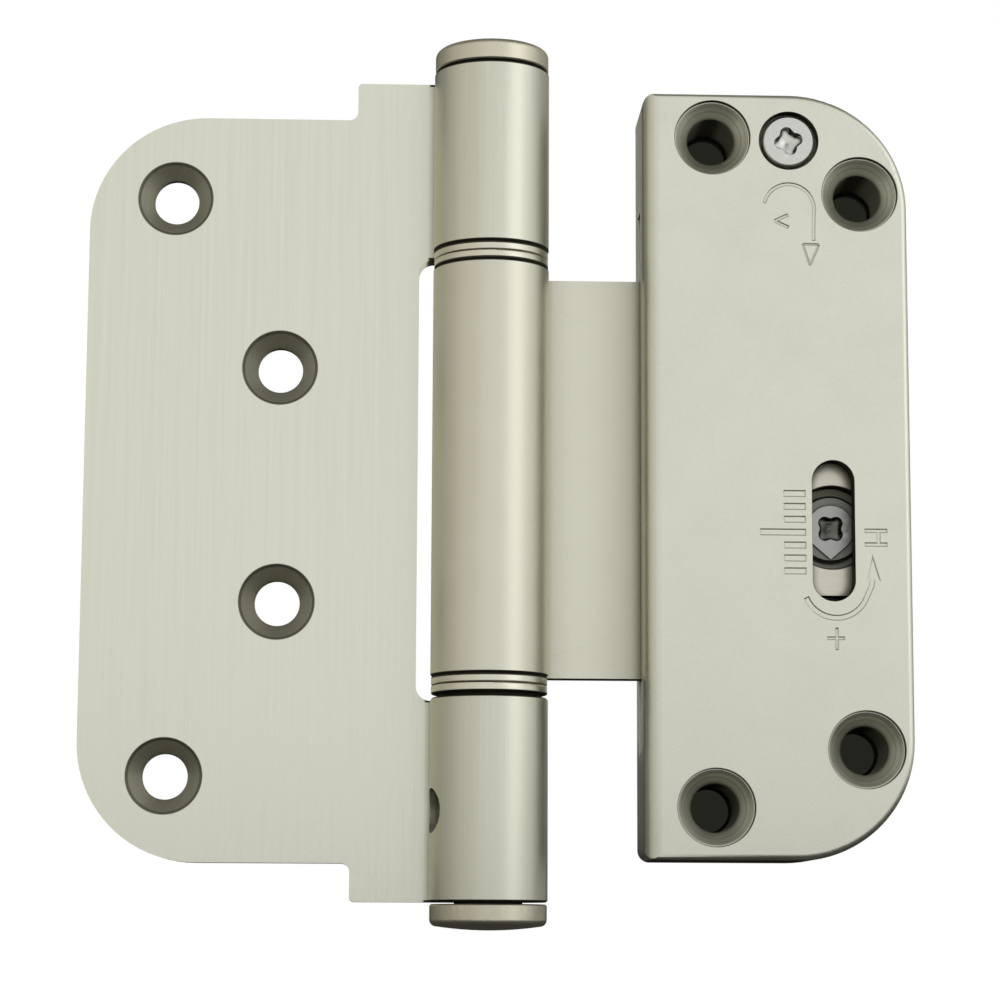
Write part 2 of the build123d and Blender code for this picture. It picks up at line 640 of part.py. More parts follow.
def mitre_gear(hub_end, turn):
    """A mitre gear around Z with its cone's point at the origin, its hub towards +Z."""
    slope = math.sqrt(0.5)
    inner = 1 - GEAR_FACE / (PITCH_R * math.sqrt(2))
    tip = (PITCH_R + GEAR_MODULE * slope, PITCH_R - GEAR_MODULE * slope)
    root = GEAR_ROOT * GEAR_MODULE * slope
    root_in = ((PITCH_R - root) * inner, (PITCH_R + root) * inner)
    hub_start = 2 * PITCH_R - GEAR_HUB_R
    profile = [
        (GEAR_SEAT_R, root_in[1]), root_in, (tip[0] * inner, tip[1] * inner), tip,
        (GEAR_HUB_R, hub_start), (GEAR_HUB_R, hub_end), (GEAR_SEAT_R, hub_end),
    ]
    gear = revolve(Plane.XZ * face_of(profile), Axis.Z)
    space = loft([gear_space(PITCH_R * inner / 2), gear_space(2 * PITCH_R)], ruled=True)
    spaces = [Rot(0, 0, turn + 360 * i / GEAR_TEETH) * space for i in range(GEAR_TEETH)]
    return gear - spaces


def v_bevel_gear():
    """Mitre gear on the vertical adjusting screw; it has a tooth straight down."""
    hub_end = LEAF_MID_Y - (INNER_FRONT_Y + V_BOSS_REACH + RUN_CLEAR)
    half_tooth = 180 / GEAR_TEETH
    return Pos(V_X, LEAF_MID_Y, V_Z) * Rot(90, 0, 0) * mitre_gear(hub_end, half_tooth)


def lead_bevel_gear():
    """Mitre gear on the lead screw; it has a space at the front."""
    hub_end = V_Z - (BEARING_TOP + RUN_CLEAR)
    return Pos(V_X, LEAF_MID_Y, V_Z) * Rot(180, 0, 0) * mitre_gear(hub_end, 0)


def gear_seat_length():
    """How near to the cone's point the gear seats of both shafts end."""
    inner = 1 - GEAR_FACE / (PITCH_R * math.sqrt(2))
    return (PITCH_R + GEAR_ROOT * GEAR_MODULE * math.sqrt(0.5)) * inner


def v_adjust_screw():
    """Vertical adjusting screw: its head lies in the casing's pocket."""
    front = CASING_FRONT_Y + V_HEAD_SINK
    head_back = CASING_FRONT_Y + V_POCKET_DEPTH - V_HEAD_CLEAR
    gear_front = INNER_FRONT_Y + V_BOSS_REACH + RUN_CLEAR
    head = crosswise(V_HEAD_R, front, head_back, V_X, V_Z)
    rim = head.edges().filter_by(GeomType.CIRCLE).sort_by(Axis.Y)[0]
    head = chamfer(rim, FLANGE_EDGE)
    shaft = crosswise(V_SHAFT_R, head_back, gear_front, V_X, V_Z)
    seat = crosswise(GEAR_SEAT_R, gear_front, LEAF_MID_Y - gear_seat_length(), V_X, V_Z)
    recess = Pos(V_X, front, V_Z) * Rot(90, 0, 0) * Rot(0, 0, V_RECESS_TURN) * drive_recess()
    return head + shaft + seat - recess


def lead_screw():
    """Lead screw: a shoulder under the bearing, a journal in it and the gear's seat above."""
    shoulder = BEARING_BOTTOM - RUN_CLEAR
    hub = BEARING_TOP + RUN_CLEAR
    screw = upright(LEAD_SCREW_R, LEAD_SCREW_END, shoulder, V_X, LEAF_MID_Y)
    screw = chamfer(screw.edges().filter_by(GeomType.CIRCLE).sort_by(Axis.Z)[0], LEAD_SCREW_EDGE)
    screw += upright(LEAD_JOURNAL_R, shoulder, hub, V_X, LEAF_MID_Y)
    return screw + upright(GEAR_SEAT_R, hub, V_Z - gear_seat_length(), V_X, LEAF_MID_Y)


def lead_screw_bearing():
    """Bearing block of the lead screw, dropped into its groove from the back of the casing."""
    block = box(
        V_X - BEARING_HALF, V_X + BEARING_HALF, INNER_FRONT_Y, INNER_BACK_Y, BEARING_BOTTOM, BEARING_TOP,
    )
    bore = upright(LEAD_JOURNAL_R + RUN_CLEAR, BEARING_BOTTOM - PAST, BEARING_TOP + PAST, V_X, LEAF_MID_Y)
    return block - bore


def casing_face(inset):
    """Outline of the casing in X and Z, drawn in by the given inset."""
    left = CASING_LEFT + inset
    right = CASING_RIGHT - inset
    bottom = CASING_BOTTOM + inset
    top = CASING_TOP - inset
    small = max(CASING_SMALL_R - inset, SMALLEST_CORNER_R)
    large = CASING_CORNER_R - inset
    corners = [(left, bottom), (right, bottom), (right, top), (left, top)]
    return rounded_face(corners, [small, large, large, small])


def cavity_face(side_inset):
    """The room for the carriage and the end of the door leaf, in X and Z."""
    left = CAVITY_LEFT + side_inset
    right = CAVITY_RIGHT - side_inset
    points = [
        (left, CAVITY_BOTTOM_LEFT), (CAVITY_BOTTOM_STEP_X, CAVITY_BOTTOM_LEFT),
        (CAVITY_BOTTOM_STEP_X, CAVITY_BOTTOM_RIGHT), (right, CAVITY_BOTTOM_RIGHT),
        (right, CAVITY_TOP_RIGHT), (CAVITY_TOP_STEP_X, CAVITY_TOP_RIGHT),
        (CAVITY_TOP_STEP_X, CAVITY_TOP_LEFT), (left, CAVITY_TOP_LEFT),
    ]
    r = CAVITY_CORNER_R
    return rounded_face(points, [r, r, r, r, r, r, r, r])


def case_holes():
    """Centres of the casing's four screw holes."""
    rows = [(CASE_INNER_X, CASE_INNER_SPAN / 2), (CASE_OUTER_X, CASE_OUTER_SPAN / 2)]
    return [(x, CASE_HOLE_MID_Z + way * half) for x, half in rows for way in (1, -1)]


def casing_hole(x, z):
    """A screw hole of the casing: short counterbore, countersink and bore."""
    ledge = CASING_FRONT_Y + CASE_SINK_DROP
    drop = sink_depth(CASE_SINK_TOP_R, CASE_BORE_R)
    hole = crosswise(CASE_SINK_R, CASING_FRONT_Y - PAST, ledge, x, z)
    hole += cone_crosswise(CASE_SINK_TOP_R, CASE_BORE_R, ledge, ledge + drop, x, z)
    return hole + crosswise(CASE_BORE_R, ledge, CASING_BACK_Y + PAST, x, z)


def left_edge_waste():
    """What is rounded off the casing's left front edge, which has the largest radius."""
    x = CASING_LEFT + CASING_LEFT_EDGE
    y = CASING_FRONT_Y + CASING_LEFT_EDGE
    bottom = CASING_BOTTOM - PAST
    top = CASING_TOP + PAST
    corner = box(CASING_LEFT - PAST, x, CASING_FRONT_Y - PAST, y, bottom, top)
    return corner - upright(CASING_LEFT_EDGE, bottom - PAST, top + PAST, x, y)


def casing():
    """Die-cast casing, open at the back, with the guides of the carriage on both sides."""
    shell = plate(casing_face(0), CASING_FRONT_Y, CASING_BACK_Y)
    shell = fillet(shell.edges().group_by(Axis.Y)[0], CASING_EDGE) - left_edge_waste()
    shell -= plate(casing_face(BACK_INSET), INNER_BACK_Y, CASING_BACK_Y + PAST)
    shell -= plate(cavity_face(RIB), INNER_FRONT_Y, SLIDE_BACK_Y + PAST)
    shell -= plate(cavity_face(0), SLIDE_BACK_Y, INNER_BACK_Y + PAST)
    wall_slot = box(
        CASING_LEFT - PAST, CAVITY_LEFT + RIB + PAST, LEAF_FRONT_Y - WALL_SLOT_CLEAR,
        LEAF_BACK_Y + WALL_SLOT_CLEAR, WALL_SLOT_BOTTOM, WALL_SLOT_TOP,
    )
    shell -= wall_slot
    channel = box(
        V_X - CHANNEL_HALF, V_X + CHANNEL_HALF, INNER_FRONT_Y, INNER_BACK_Y + PAST,
        CAVITY_TOP_RIGHT - PAST, CHANNEL_TOP,
    )
    shell -= channel
    shell -= box(
        V_X - BEARING_HALF, V_X + BEARING_HALF, INNER_FRONT_Y, INNER_BACK_Y + PAST,
        BEARING_BOTTOM, BEARING_TOP,
    )
    shell += crosswise(V_BOSS_R, INNER_FRONT_Y, INNER_FRONT_Y + V_BOSS_REACH, V_X, V_Z)
    shell -= crosswise(V_POCKET_R, CASING_FRONT_Y - PAST, CASING_FRONT_Y + V_POCKET_DEPTH, V_X, V_Z)
    shell -= crosswise(V_SHAFT_R + RUN_CLEAR, CASING_FRONT_Y, LEAF_MID_Y, V_X, V_Z)
    slot = Pos(SLOT_X, SLOT_Z) * Rot(0, 0, 90) * SlotOverall(SLOT_LENGTH, SLOT_WIDTH)
    shell -= plate(slot, CASING_FRONT_Y - PAST, INNER_FRONT_Y + PAST)
    for x, z in case_holes():
        shell -= casing_hole(x, z)
    for x, z in BACK_SCREWS:
        shell -= small_screw(x, z)
    return shell


def small_screw(x, z):
    """A countersunk back plate screw, its head flush with the back."""
    sink = SMALL_HEAD_R - SMALL_SCREW_R
    head = cone_crosswise(SMALL_SCREW_R, SMALL_HEAD_R, CASING_BACK_Y - sink, CASING_BACK_Y, x, z)
    return head + crosswise(SMALL_SCREW_R, CASING_BACK_Y - SMALL_SCREW_LENGTH, CASING_BACK_Y - sink, x, z)


def back_plate():
    """Sheet cover in the back of the casing."""
    cover = plate(casing_face(BACK_INSET + BACK_CLEAR), INNER_BACK_Y, CASING_BACK_Y)
    for x, z in case_holes():
        cover -= crosswise(BACK_BORE_R, INNER_BACK_Y - PAST, CASING_BACK_Y + PAST, x, z)
    for x, z in BACK_SCREWS:
        cover -= small_screw(x, z)
    return cover


def back_plate_screws():
    """The back plate's four screws, with a straight slot in each head."""
    screws = []
    for x, z in BACK_SCREWS:
        half = SMALL_SLOT_WIDTH / 2
        slot = box(
            x - SMALL_HEAD_R - PAST, x + SMALL_HEAD_R + PAST, CASING_BACK_Y - SMALL_SLOT_DEPTH,
            CASING_BACK_Y + PAST, z - half, z + half,
        )
        screws.append(small_screw(x, z) - slot)
    return Compound(children=screws)


def write_parts():
    """Write every piece to a file of its own."""
    pieces = {
        "frame_leaf": frame_leaf(),
        "hinge_pin": hinge_pin(),
        "top_cap": cap(BARREL_TOP, 1),
        "bottom_cap": cap(BARREL_BOTTOM, -1),
        "upper_frame_bushing": upper_frame_bushing(),
        "lower_frame_bushing": lower_frame_bushing(),
        "pin_set_screw": pin_set_screw(),
        "door_leaf": door_leaf(),
        "upper_door_bushing": upper_door_bushing(),
        "lower_door_bushing": lower_door_bushing(),
        "slide_plate": slide_plate(),
        "keeper_plate": keeper_plate(),
        "carriage_rivets": carriage_rivets(),
        "lift_nut": lift_nut(),
        "h_adjust_cam": h_adjust_cam(),
        "cam_washer": cam_washer(),
        "cam_clip": cam_clip(),
        "casing": casing(),
        "back_plate": back_plate(),
        "back_plate_screws": back_plate_screws(),
        "lead_screw_bearing": lead_screw_bearing(),
        "v_adjust_screw": v_adjust_screw(),
        "v_bevel_gear": v_bevel_gear(),
        "lead_screw": lead_screw(),
        "lead_bevel_gear": lead_bevel_gear(),
    }
    os.makedirs("parts", exist_ok=True)
    to_origin = Pos(-LEAF_INNER_X, -LEAF_BACK_Y, 0)
    for name, shape in pieces.items():
        export_step(to_origin * shape, f"parts/{name}.step")


write_parts()
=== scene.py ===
# %% [markdown]
# # A door hinge that can be adjusted
#
# The real object is a heavy hinge of satin nickel. A rolled steel leaf with two knuckles is
# screwed to the door frame, a third knuckle turns between them, and its plate runs into a cast
# casing in the door's edge. Two screws in the casing lift the door and move it sideways.
#
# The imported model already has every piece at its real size. This lesson dresses it: it gives
# each metal its own finish, softens the stamped edges, sinks the marks into the casing and
# completes the two driver recesses. Nothing that the model holds is moved.

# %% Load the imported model
import json
import math

import bmesh
import bpy
from mathutils import Matrix, Vector

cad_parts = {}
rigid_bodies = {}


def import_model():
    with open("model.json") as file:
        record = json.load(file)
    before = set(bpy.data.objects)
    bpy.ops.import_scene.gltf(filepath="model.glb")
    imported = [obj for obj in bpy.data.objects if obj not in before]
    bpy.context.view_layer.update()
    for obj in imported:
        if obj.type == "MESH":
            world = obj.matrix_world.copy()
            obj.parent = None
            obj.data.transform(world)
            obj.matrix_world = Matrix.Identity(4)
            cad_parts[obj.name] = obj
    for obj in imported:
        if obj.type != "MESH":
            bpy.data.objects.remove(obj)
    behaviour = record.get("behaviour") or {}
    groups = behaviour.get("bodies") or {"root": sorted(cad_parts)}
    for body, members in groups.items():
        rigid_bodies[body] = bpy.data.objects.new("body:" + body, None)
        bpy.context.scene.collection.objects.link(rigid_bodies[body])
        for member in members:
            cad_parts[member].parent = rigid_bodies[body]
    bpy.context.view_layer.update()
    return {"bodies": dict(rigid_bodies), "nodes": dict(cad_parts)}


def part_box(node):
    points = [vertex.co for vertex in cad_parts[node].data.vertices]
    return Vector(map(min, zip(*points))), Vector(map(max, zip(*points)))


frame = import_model()
nodes = frame["nodes"]
print("pieces from the model:", len(nodes))

# %% [markdown]
# Everything on a hinge is measured from its pin, so the places in this lesson are too. They are
# written in millimetres from the pin's axis, halfway up the leaf, with X towards the door and
# the front looking towards -Y. The helper turns such a place into the scene's metres.

# %% Places measured from the pin
MM = 0.001
pin_low, pin_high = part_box("hinge_pin")
PIN = Vector(((pin_low.x + pin_high.x) / 2, (pin_low.y + pin_high.y) / 2, 0.0))


def at(x, y, z):
    """A place in the scene from millimetres measured from the pin's axis."""
    return PIN + Vector((x, y, z)) * MM


print("pin axis at", [round(v, 4) for v in PIN])

# %% [markdown]
# ## The camera
#
# The photograph was taken from a little below the lower cap, with the camera tipped up by about
# eight and a half degrees, which is why the tops of the windows show their undersides. A long
# lens keeps the leaf's sides nearly parallel.

# %% Camera
CAMERA_PLACE = at(-11.67, -380.87, -59.76)
CAMERA_PITCH = 8.531
CAMERA_TURN = -1.955
CAMERA_ROLL = 0.257
LENS = 103.73
SENSOR = 36.0
NEAREST, FURTHEST = 0.01, 50.0

camera_data = bpy.data.cameras.new("camera")
camera_data.lens = LENS
camera_data.sensor_width = SENSOR
camera_data.clip_start = NEAREST
camera_data.clip_end = FURTHEST
camera = bpy.data.objects.new("camera", camera_data)
bpy.context.scene.collection.objects.link(camera)
turn = Matrix.Rotation(math.radians(CAMERA_TURN), 4, "Z")
pitch = Matrix.Rotation(math.radians(90 + CAMERA_PITCH), 4, "X")
roll = Matrix.Rotation(math.radians(CAMERA_ROLL), 4, "Z")
camera.matrix_world = Matrix.Translation(CAMERA_PLACE) @ turn @ pitch @ roll
bpy.context.scene.camera = camera
print("camera at", [round(v, 3) for v in CAMERA_PLACE])

# %% [markdown]
# ## The studio
#
# Bare metal shows what stands around it, and a white room alone would leave the barrel flat. So
# grey cards stand round the hinge like a tunnel that is open at the front: they darken the
# barrel's flanks, the countersinks and the undersides. A tall soft lamp at the front right draws
# the bright line down the barrel. The floor and the room are white to the camera, and the floor
# keeps the hinge's shadow. The cards are only seen in reflections, so they cast no shadow.

# %% Room and floor
WHITE = (1.0, 1.0, 1.0, 1.0)
SOFT_LIGHT = 0.75
FLOOR_LEVEL = -90 * MM
FLOOR_GLOW = 0.4
FLOOR_SIDE = 12.0
FLOOR_PAINT = (0.9, 0.9, 0.9, 1.0)


def new_material(name):
    """An empty node material; returns it with its node tree."""
    material = bpy.data.materials.new(name)
    material.use_nodes = True
    material.node_tree.nodes.clear()
    return material, material.node_tree


def seen_as_white(tree):
    """1 for camera, glossy and transmitted rays, and 0 for the rays that carry soft light."""
    path = tree.nodes.new("ShaderNodeLightPath")
    first = tree.nodes.new("ShaderNodeMath")
    first.operation = "MAXIMUM"
    tree.links.new(path.outputs["Is Camera Ray"], first.inputs[0])
    tree.links.new(path.outputs["Is Glossy Ray"], first.inputs[1])
    second = tree.nodes.new("ShaderNodeMath")
    second.operation = "MAXIMUM"
    tree.links.new(first.outputs[0], second.inputs[0])
    tree.links.new(path.outputs["Is Transmission Ray"], second.inputs[1])
    return second.outputs[0]


world = bpy.data.worlds.new("room")
bpy.context.scene.world = world
world.use_nodes = True
tree = world.node_tree
tree.nodes.clear()
soft = tree.nodes.new("ShaderNodeBackground")
soft.inputs["Color"].default_value = WHITE
soft.inputs["Strength"].default_value = SOFT_LIGHT
white = tree.nodes.new("ShaderNodeBackground")
white.inputs["Color"].default_value = WHITE
mix = tree.nodes.new("ShaderNodeMixShader")
tree.links.new(seen_as_white(tree), mix.inputs["Fac"])
tree.links.new(soft.outputs[0], mix.inputs[1])
tree.links.new(white.outputs[0], mix.inputs[2])
out = tree.nodes.new("ShaderNodeOutputWorld")
tree.links.new(mix.outputs[0], out.inputs["Surface"])


def flat_panel(name, place, width, height, facing):
    """A flat panel of the studio, facing along a direction."""
    mesh = bpy.data.meshes.new(name)
    x, y = width / 2, height / 2
    mesh.from_pydata([(-x, -y, 0), (x, -y, 0), (x, y, 0), (-x, y, 0)], [], [(0, 1, 2, 3)])
    panel = bpy.data.objects.new(name, mesh)
    bpy.context.scene.collection.objects.link(panel)
    look = Vector(facing).to_track_quat("Z", "Y")
    panel.matrix_world = Matrix.Translation(place) @ look.to_matrix().to_4x4()
    return panel


floor = flat_panel("floor", (0, 0, FLOOR_LEVEL), FLOOR_SIDE, FLOOR_SIDE, (0, 0, 1))
floor_paint, tree = new_material("floor_paint")
paint = tree.nodes.new("ShaderNodeBsdfDiffuse")
paint.inputs["Color"].default_value = FLOOR_PAINT
glow = tree.nodes.new("ShaderNodeEmission")
lift = tree.nodes.new("ShaderNodeMath")
lift.operation = "MULTIPLY"
lift.inputs[1].default_value = FLOOR_GLOW
tree.links.new(seen_as_white(tree), lift.inputs[0])
tree.links.new(lift.outputs[0], glow.inputs["Strength"])
both = tree.nodes.new("ShaderNodeAddShader")
tree.links.new(paint.outputs[0], both.inputs[0])
tree.links.new(glow.outputs[0], both.inputs[1])
out = tree.nodes.new("ShaderNodeOutputMaterial")
tree.links.new(both.outputs[0], out.inputs["Surface"])
floor.data.materials.append(floor_paint)
bpy.context.scene.view_settings.view_transform = "Standard"
print("floor at", FLOOR_LEVEL)

# %% Grey cards and lamps
CARD_WARMTH = (1.06, 1.02, 0.93)
# name: middle, width, height, the way it faces, and its grey
CARDS = {
    "left_front_card": ((-0.65, -0.62, 0.10), 0.80, 1.2, (1, 1, 0), 0.78),
    "left_card": ((-0.38, -0.03, 0.05), 0.24, 1.0, (1, 0, 0), 0.58),
    "left_back_card": ((-0.38, 0.27, 0.05), 0.36, 1.0, (1, 0, 0), 0.28),
    "right_card": ((0.42, 0.25, 0.05), 0.44, 1.0, (-1, 0, 0), 0.42),
    "upper_card": ((0.0, 0.12, 0.38), 0.70, 0.7, (0, 0, -1), 0.2),
    "lower_card": ((0.0, 0.12, -0.085), 0.70, 0.6, (0, 0, 1), 0.05),
    "back_card": ((0.03, 0.50, 0.02), 0.90, 0.9, (0, -1, 0), 0.22),
    "back_left_card": ((0.0, 0.08, 0.0), 0.066, 0.2, (0, -1, 0), 0.03),
    "back_low_card": ((0.03, 0.08, -0.07), 0.13, 0.05, (0, -1, 0), 0.03),
    "back_middle_card": ((0.052, 0.08, 0.03), 0.04, 0.12, (0, -1, 0), 1.0),
}
# name: place, width, height and power
LAMPS = {
    "tall_lamp": ((0.62, -0.50, 0.10), 0.40, 1.2, 1.1),
}


def card_paint(name, grey):
    """Paint of a card that only reflections see."""
    material, tree = new_material(name)
    glow = tree.nodes.new("ShaderNodeEmission")
    glow.inputs["Color"].default_value = (*(grey * share for share in CARD_WARMTH), 1.0)
    out = tree.nodes.new("ShaderNodeOutputMaterial")
    tree.links.new(glow.outputs[0], out.inputs["Surface"])
    return material


for name, (place, width, height, facing, grey) in CARDS.items():
    card = flat_panel(name, place, width, height, facing)
    card.data.materials.append(card_paint(name + "_paint", grey))
    card.visible_camera = False
    card.visible_diffuse = False
    card.visible_transmission = False
    card.visible_shadow = False

for name, (place, width, height, power) in LAMPS.items():
    lamp_data = bpy.data.lights.new(name, "AREA")
    lamp_data.shape = "RECTANGLE"
    lamp_data.size = width
    lamp_data.size_y = height
    lamp_data.energy = power
    lamp = bpy.data.objects.new(name, lamp_data)
    bpy.context.scene.collection.objects.link(lamp)
    aim = (Vector((0, 0, 0)) - Vector(place)).to_track_quat("-Z", "Y")
    lamp.matrix_world = Matrix.Translation(place) @ aim.to_matrix().to_4x4()
print("cards:", len(CARDS), "lamps:", len(LAMPS))

# %% [markdown]
# In the photograph the casing's four deep screw holes are dark, as over a table that closes them
# from behind, while the thin leaf's holes are bright. A dark disc stands for the table behind
# each of the casing's holes. It rides with the casing and is clear from behind, so the holes stay
# open there. It only darkens the soft shade round them a little.

# %% Table behind the casing's holes
CASE_HOLES = [(30.0, 47.4), (30.0, -43.4), (50.0, 39.7), (50.0, -35.7)]
CASING_BACK = 11.5
TABLE_GAP = 0.2
TABLE_DISC_R = 4.2
TABLE_DISC_CORNERS = 32
TABLE_SHADE = (0.018, 0.018, 0.014, 1.0)

shade, tree = new_material("table_in_shade")
dark = tree.nodes.new("ShaderNodeEmission")
dark.inputs["Color"].default_value = TABLE_SHADE
clear = tree.nodes.new("ShaderNodeBsdfTransparent")
behind = tree.nodes.new("ShaderNodeNewGeometry")
mix = tree.nodes.new("ShaderNodeMixShader")
tree.links.new(behind.outputs["Backfacing"], mix.inputs["Fac"])
tree.links.new(dark.outputs[0], mix.inputs[1])
tree.links.new(clear.outputs[0], mix.inputs[2])
out = tree.nodes.new("ShaderNodeOutputMaterial")
tree.links.new(mix.outputs[0], out.inputs["Surface"])
# Each disc is painted shade: a near-black glowing disc for the shaded table behind a hole.
for i, (x, z) in enumerate(CASE_HOLES):
    disc = bmesh.new()
    upright = Matrix.Rotation(math.radians(90), 4, "X")
    place = Matrix.Translation(at(x, CASING_BACK + TABLE_GAP, z)) @ upright
    bmesh.ops.create_circle(
        disc, cap_ends=True, segments=TABLE_DISC_CORNERS, radius=TABLE_DISC_R * MM, matrix=place
    )
    mesh = bpy.data.meshes.new(f"table_shade_disc_{i}")
    disc.to_mesh(mesh)
    disc.free()
    mesh.materials.append(shade)
    table = bpy.data.objects.new(f"table_shade_disc_{i}", mesh)
    bpy.context.scene.collection.objects.link(table)
    table.parent = frame["bodies"]["door_casing"]
    table.visible_shadow = False
print("discs behind the casing's holes:", len(CASE_HOLES))

# %% [markdown]
# ## Finishes
#
# Satin nickel is steel or zinc that was brushed or blasted and then plated, so each piece keeps
# the marks of its own making. Effects that more than one metal uses are built once as node
# groups with named inputs, and each metal sets its own values. They put out masks and heights
# that change over the surface. The metal's own shader stays in its material.

# %% Helpers for node trees
def feed(tree, socket, value):
    """Links a socket to another one, or sets its value."""
    if isinstance(value, bpy.types.NodeSocket):
        tree.links.new(value, socket)
    else:
        socket.default_value = value


def arithmetic(tree, operation, first, second=0.0):
    """The result of a math node."""
    node = tree.nodes.new("ShaderNodeMath")
    node.operation = operation
    feed(tree, node.inputs[0], first)
    feed(tree, node.inputs[1], second)
    return node.outputs[0]


def factor(tree, value, from_low, from_high, to_low, to_high=1.0):
    """A factor that runs between two values."""
    node = tree.nodes.new("ShaderNodeMapRange")
    limits = {
        "Value": value, "From Min": from_low, "From Max": from_high,
        "To Min": to_low, "To Max": to_high,
    }
    for name, limit in limits.items():
        feed(tree, node.inputs[name], limit)
    return node.outputs[0]


def part_of(tree, vector, axis):
    """The X, Y or Z of a vector."""
    split = tree.nodes.new("ShaderNodeSeparateXYZ")
    tree.links.new(vector, split.inputs[0])
    return split.outputs[axis]


def stretched(tree, vector, scale):
    """A vector times a fixed scale along each axis."""
    node = tree.nodes.new("ShaderNodeVectorMath")
    node.operation = "MULTIPLY"
    node.inputs[1].default_value = scale
    tree.links.new(vector, node.inputs[0])
    return node.outputs[0]


def effect(name, inputs, outputs=("Shade",)):
    """An empty node group with named sockets; returns it with its two end nodes."""
    group = bpy.data.node_groups.new(name, "ShaderNodeTree")
    for socket, kind in inputs.items():
        group.interface.new_socket(socket, in_out="INPUT", socket_type="NodeSocket" + kind)
    for socket in outputs:
        group.interface.new_socket(socket, in_out="OUTPUT", socket_type="NodeSocketFloat")
    given = group.nodes.new("NodeGroupInput").outputs
    out = group.nodes.new("NodeGroupOutput").inputs
    return group, given, out


def placed(tree, group, values):
    """One use of a group, with a link or a value for each of its inputs."""
    node = tree.nodes.new("ShaderNodeGroup")
    node.node_tree = group
    for socket, value in values.items():
        feed(tree, node.inputs[socket], value)
    return node.outputs


# %% Shared effects: brushing and blasting
def noise(tree, vector, detail, roughness=0.5):
    """Noise of scale 1 over a vector that is already stretched."""
    node = tree.nodes.new("ShaderNodeTexNoise")
    node.inputs["Scale"].default_value = 1.0
    node.inputs["Detail"].default_value = detail
    node.inputs["Roughness"].default_value = roughness
    tree.links.new(vector, node.inputs["Vector"])
    return node.outputs["Fac"]


def mixed(tree, first, second, share):
    """Two values mixed, with the given share of the second."""
    node = tree.nodes.new("ShaderNodeMix")
    node.data_type = "FLOAT"
    node.inputs["Factor"].default_value = share
    tree.links.new(first, node.inputs["A"])
    tree.links.new(second, node.inputs["B"])
    return node.outputs["Result"]


def surface_effect(name, detail, coarse_scale, coarse_share):
    """Fine marks for the height, and fine and coarse ones mixed for the tone."""
    group, given, out = effect(name, {"Vector": "Vector"}, ("Height", "Tone"))
    fine = noise(group, given["Vector"], detail, 0.6)
    coarse = noise(group, stretched(group, given["Vector"], coarse_scale), 2.0)
    group.links.new(mixed(group, fine, coarse, coarse_share / 2), out["Height"])
    group.links.new(mixed(group, fine, coarse, coarse_share), out["Tone"])
    return group


brushing = surface_effect("brushing", 3.0, (0.22, 0.22, 0.35), 0.6)
blasting = surface_effect("blasting", 2.0, (0.03, 0.03, 0.03), 0.4)
print("shared effects:", brushing.name, blasting.name)

# %% [markdown]
# Several masks paint shade into a metal's colour. A recess gets painted shade where the ambient
# occlusion node finds that a point sees little of the sky. The countersinks get painted shade,
# with lighter rings for the reflections of their steps, by the distance from the hole's axis. The
# barrel is painted a little darker than the flat leaf, and the joints between its rings get
# painted lines of shade. The faces that look down get painted shade for the dark end of the
# studio.

# %% Shared effects: shades
LEAF_HOLES = [(-43.1, 39.4), (-43.1, -39.4), (-28.5, 16.0), (-28.5, -16.0)]
CAM_AXIS = (46.15, -5.65)
BACK_HOLE_R = 2.9
# Levels and half widths, in millimetres, of the painted lines of shade in the barrel's joints.
JOINT_LINES = {55.98: 0.26, 31.2: 0.29, 28.8: 0.29, -26.35: 0.27, -28.95: 0.42, -55.9: 0.26}
JOINT_DARK = 0.1
LINE_FADE = 0.06
BARREL_REACH = 8.2
BARREL_FADE = 0.4
DEPTH_FADE = 0.02
SLOT_FADE_START, SLOT_FADE_END = 0.01, 0.06
FULLY_DOWN, BARELY_DOWN = -0.97, -0.82
RAMP_REACH = 6.0
SKY_SAMPLES = 6

# Painted shade in recesses: the colour darkens where the ambient occlusion node finds that a point
# sees little of the sky.
recess, given, out = effect(
    "recess", {"Reach": "Float", "Darkest": "Float", "Closed": "Float", "Open": "Float"}
)
sky = recess.nodes.new("ShaderNodeAmbientOcclusion")
sky.samples = SKY_SAMPLES
recess.links.new(given["Reach"], sky.inputs["Distance"])
shade = factor(recess, sky.outputs["AO"], given["Closed"], given["Open"], given["Darkest"])
recess.links.new(shade, out["Shade"])

# Painted shade: with this mask the barrel is painted a little darker than the flat leaf. It also
# keeps the painted joint lines on the barrel.
off_barrel, given, out = effect("off_barrel", {"Place": "Vector", "Near": "Float", "Far": "Float"})
from_pin = arithmetic(off_barrel, "SUBTRACT", part_of(off_barrel, given["Place"], "X"), PIN.x)
away = arithmetic(off_barrel, "ABSOLUTE", from_pin)
span = (BARREL_REACH * MM, (BARREL_REACH + BARREL_FADE) * MM)
off_barrel.links.new(factor(off_barrel, away, *span, given["Near"], given["Far"]), out["Shade"])

# Painted shade in the narrow gaps between the barrel's rings: dark lines at fixed levels, on the
# barrel only.
joint_shade, given, out = effect("joint_shade", {"Place": "Vector"})
height = part_of(joint_shade, given["Place"], "Z")
lines = 1.0
for level, half in JOINT_LINES.items():
    above = arithmetic(joint_shade, "SUBTRACT", height, level * MM)
    away = arithmetic(joint_shade, "ABSOLUTE", above)
    line = factor(joint_shade, away, half * MM, (half + LINE_FADE) * MM, JOINT_DARK)
    lines = arithmetic(joint_shade, "MINIMUM", line, lines)
flat = placed(joint_shade, off_barrel, {"Place": given["Place"], "Near": 0.0, "Far": 1.0})["Shade"]
joint_shade.links.new(arithmetic(joint_shade, "MAXIMUM", lines, flat), out["Shade"])

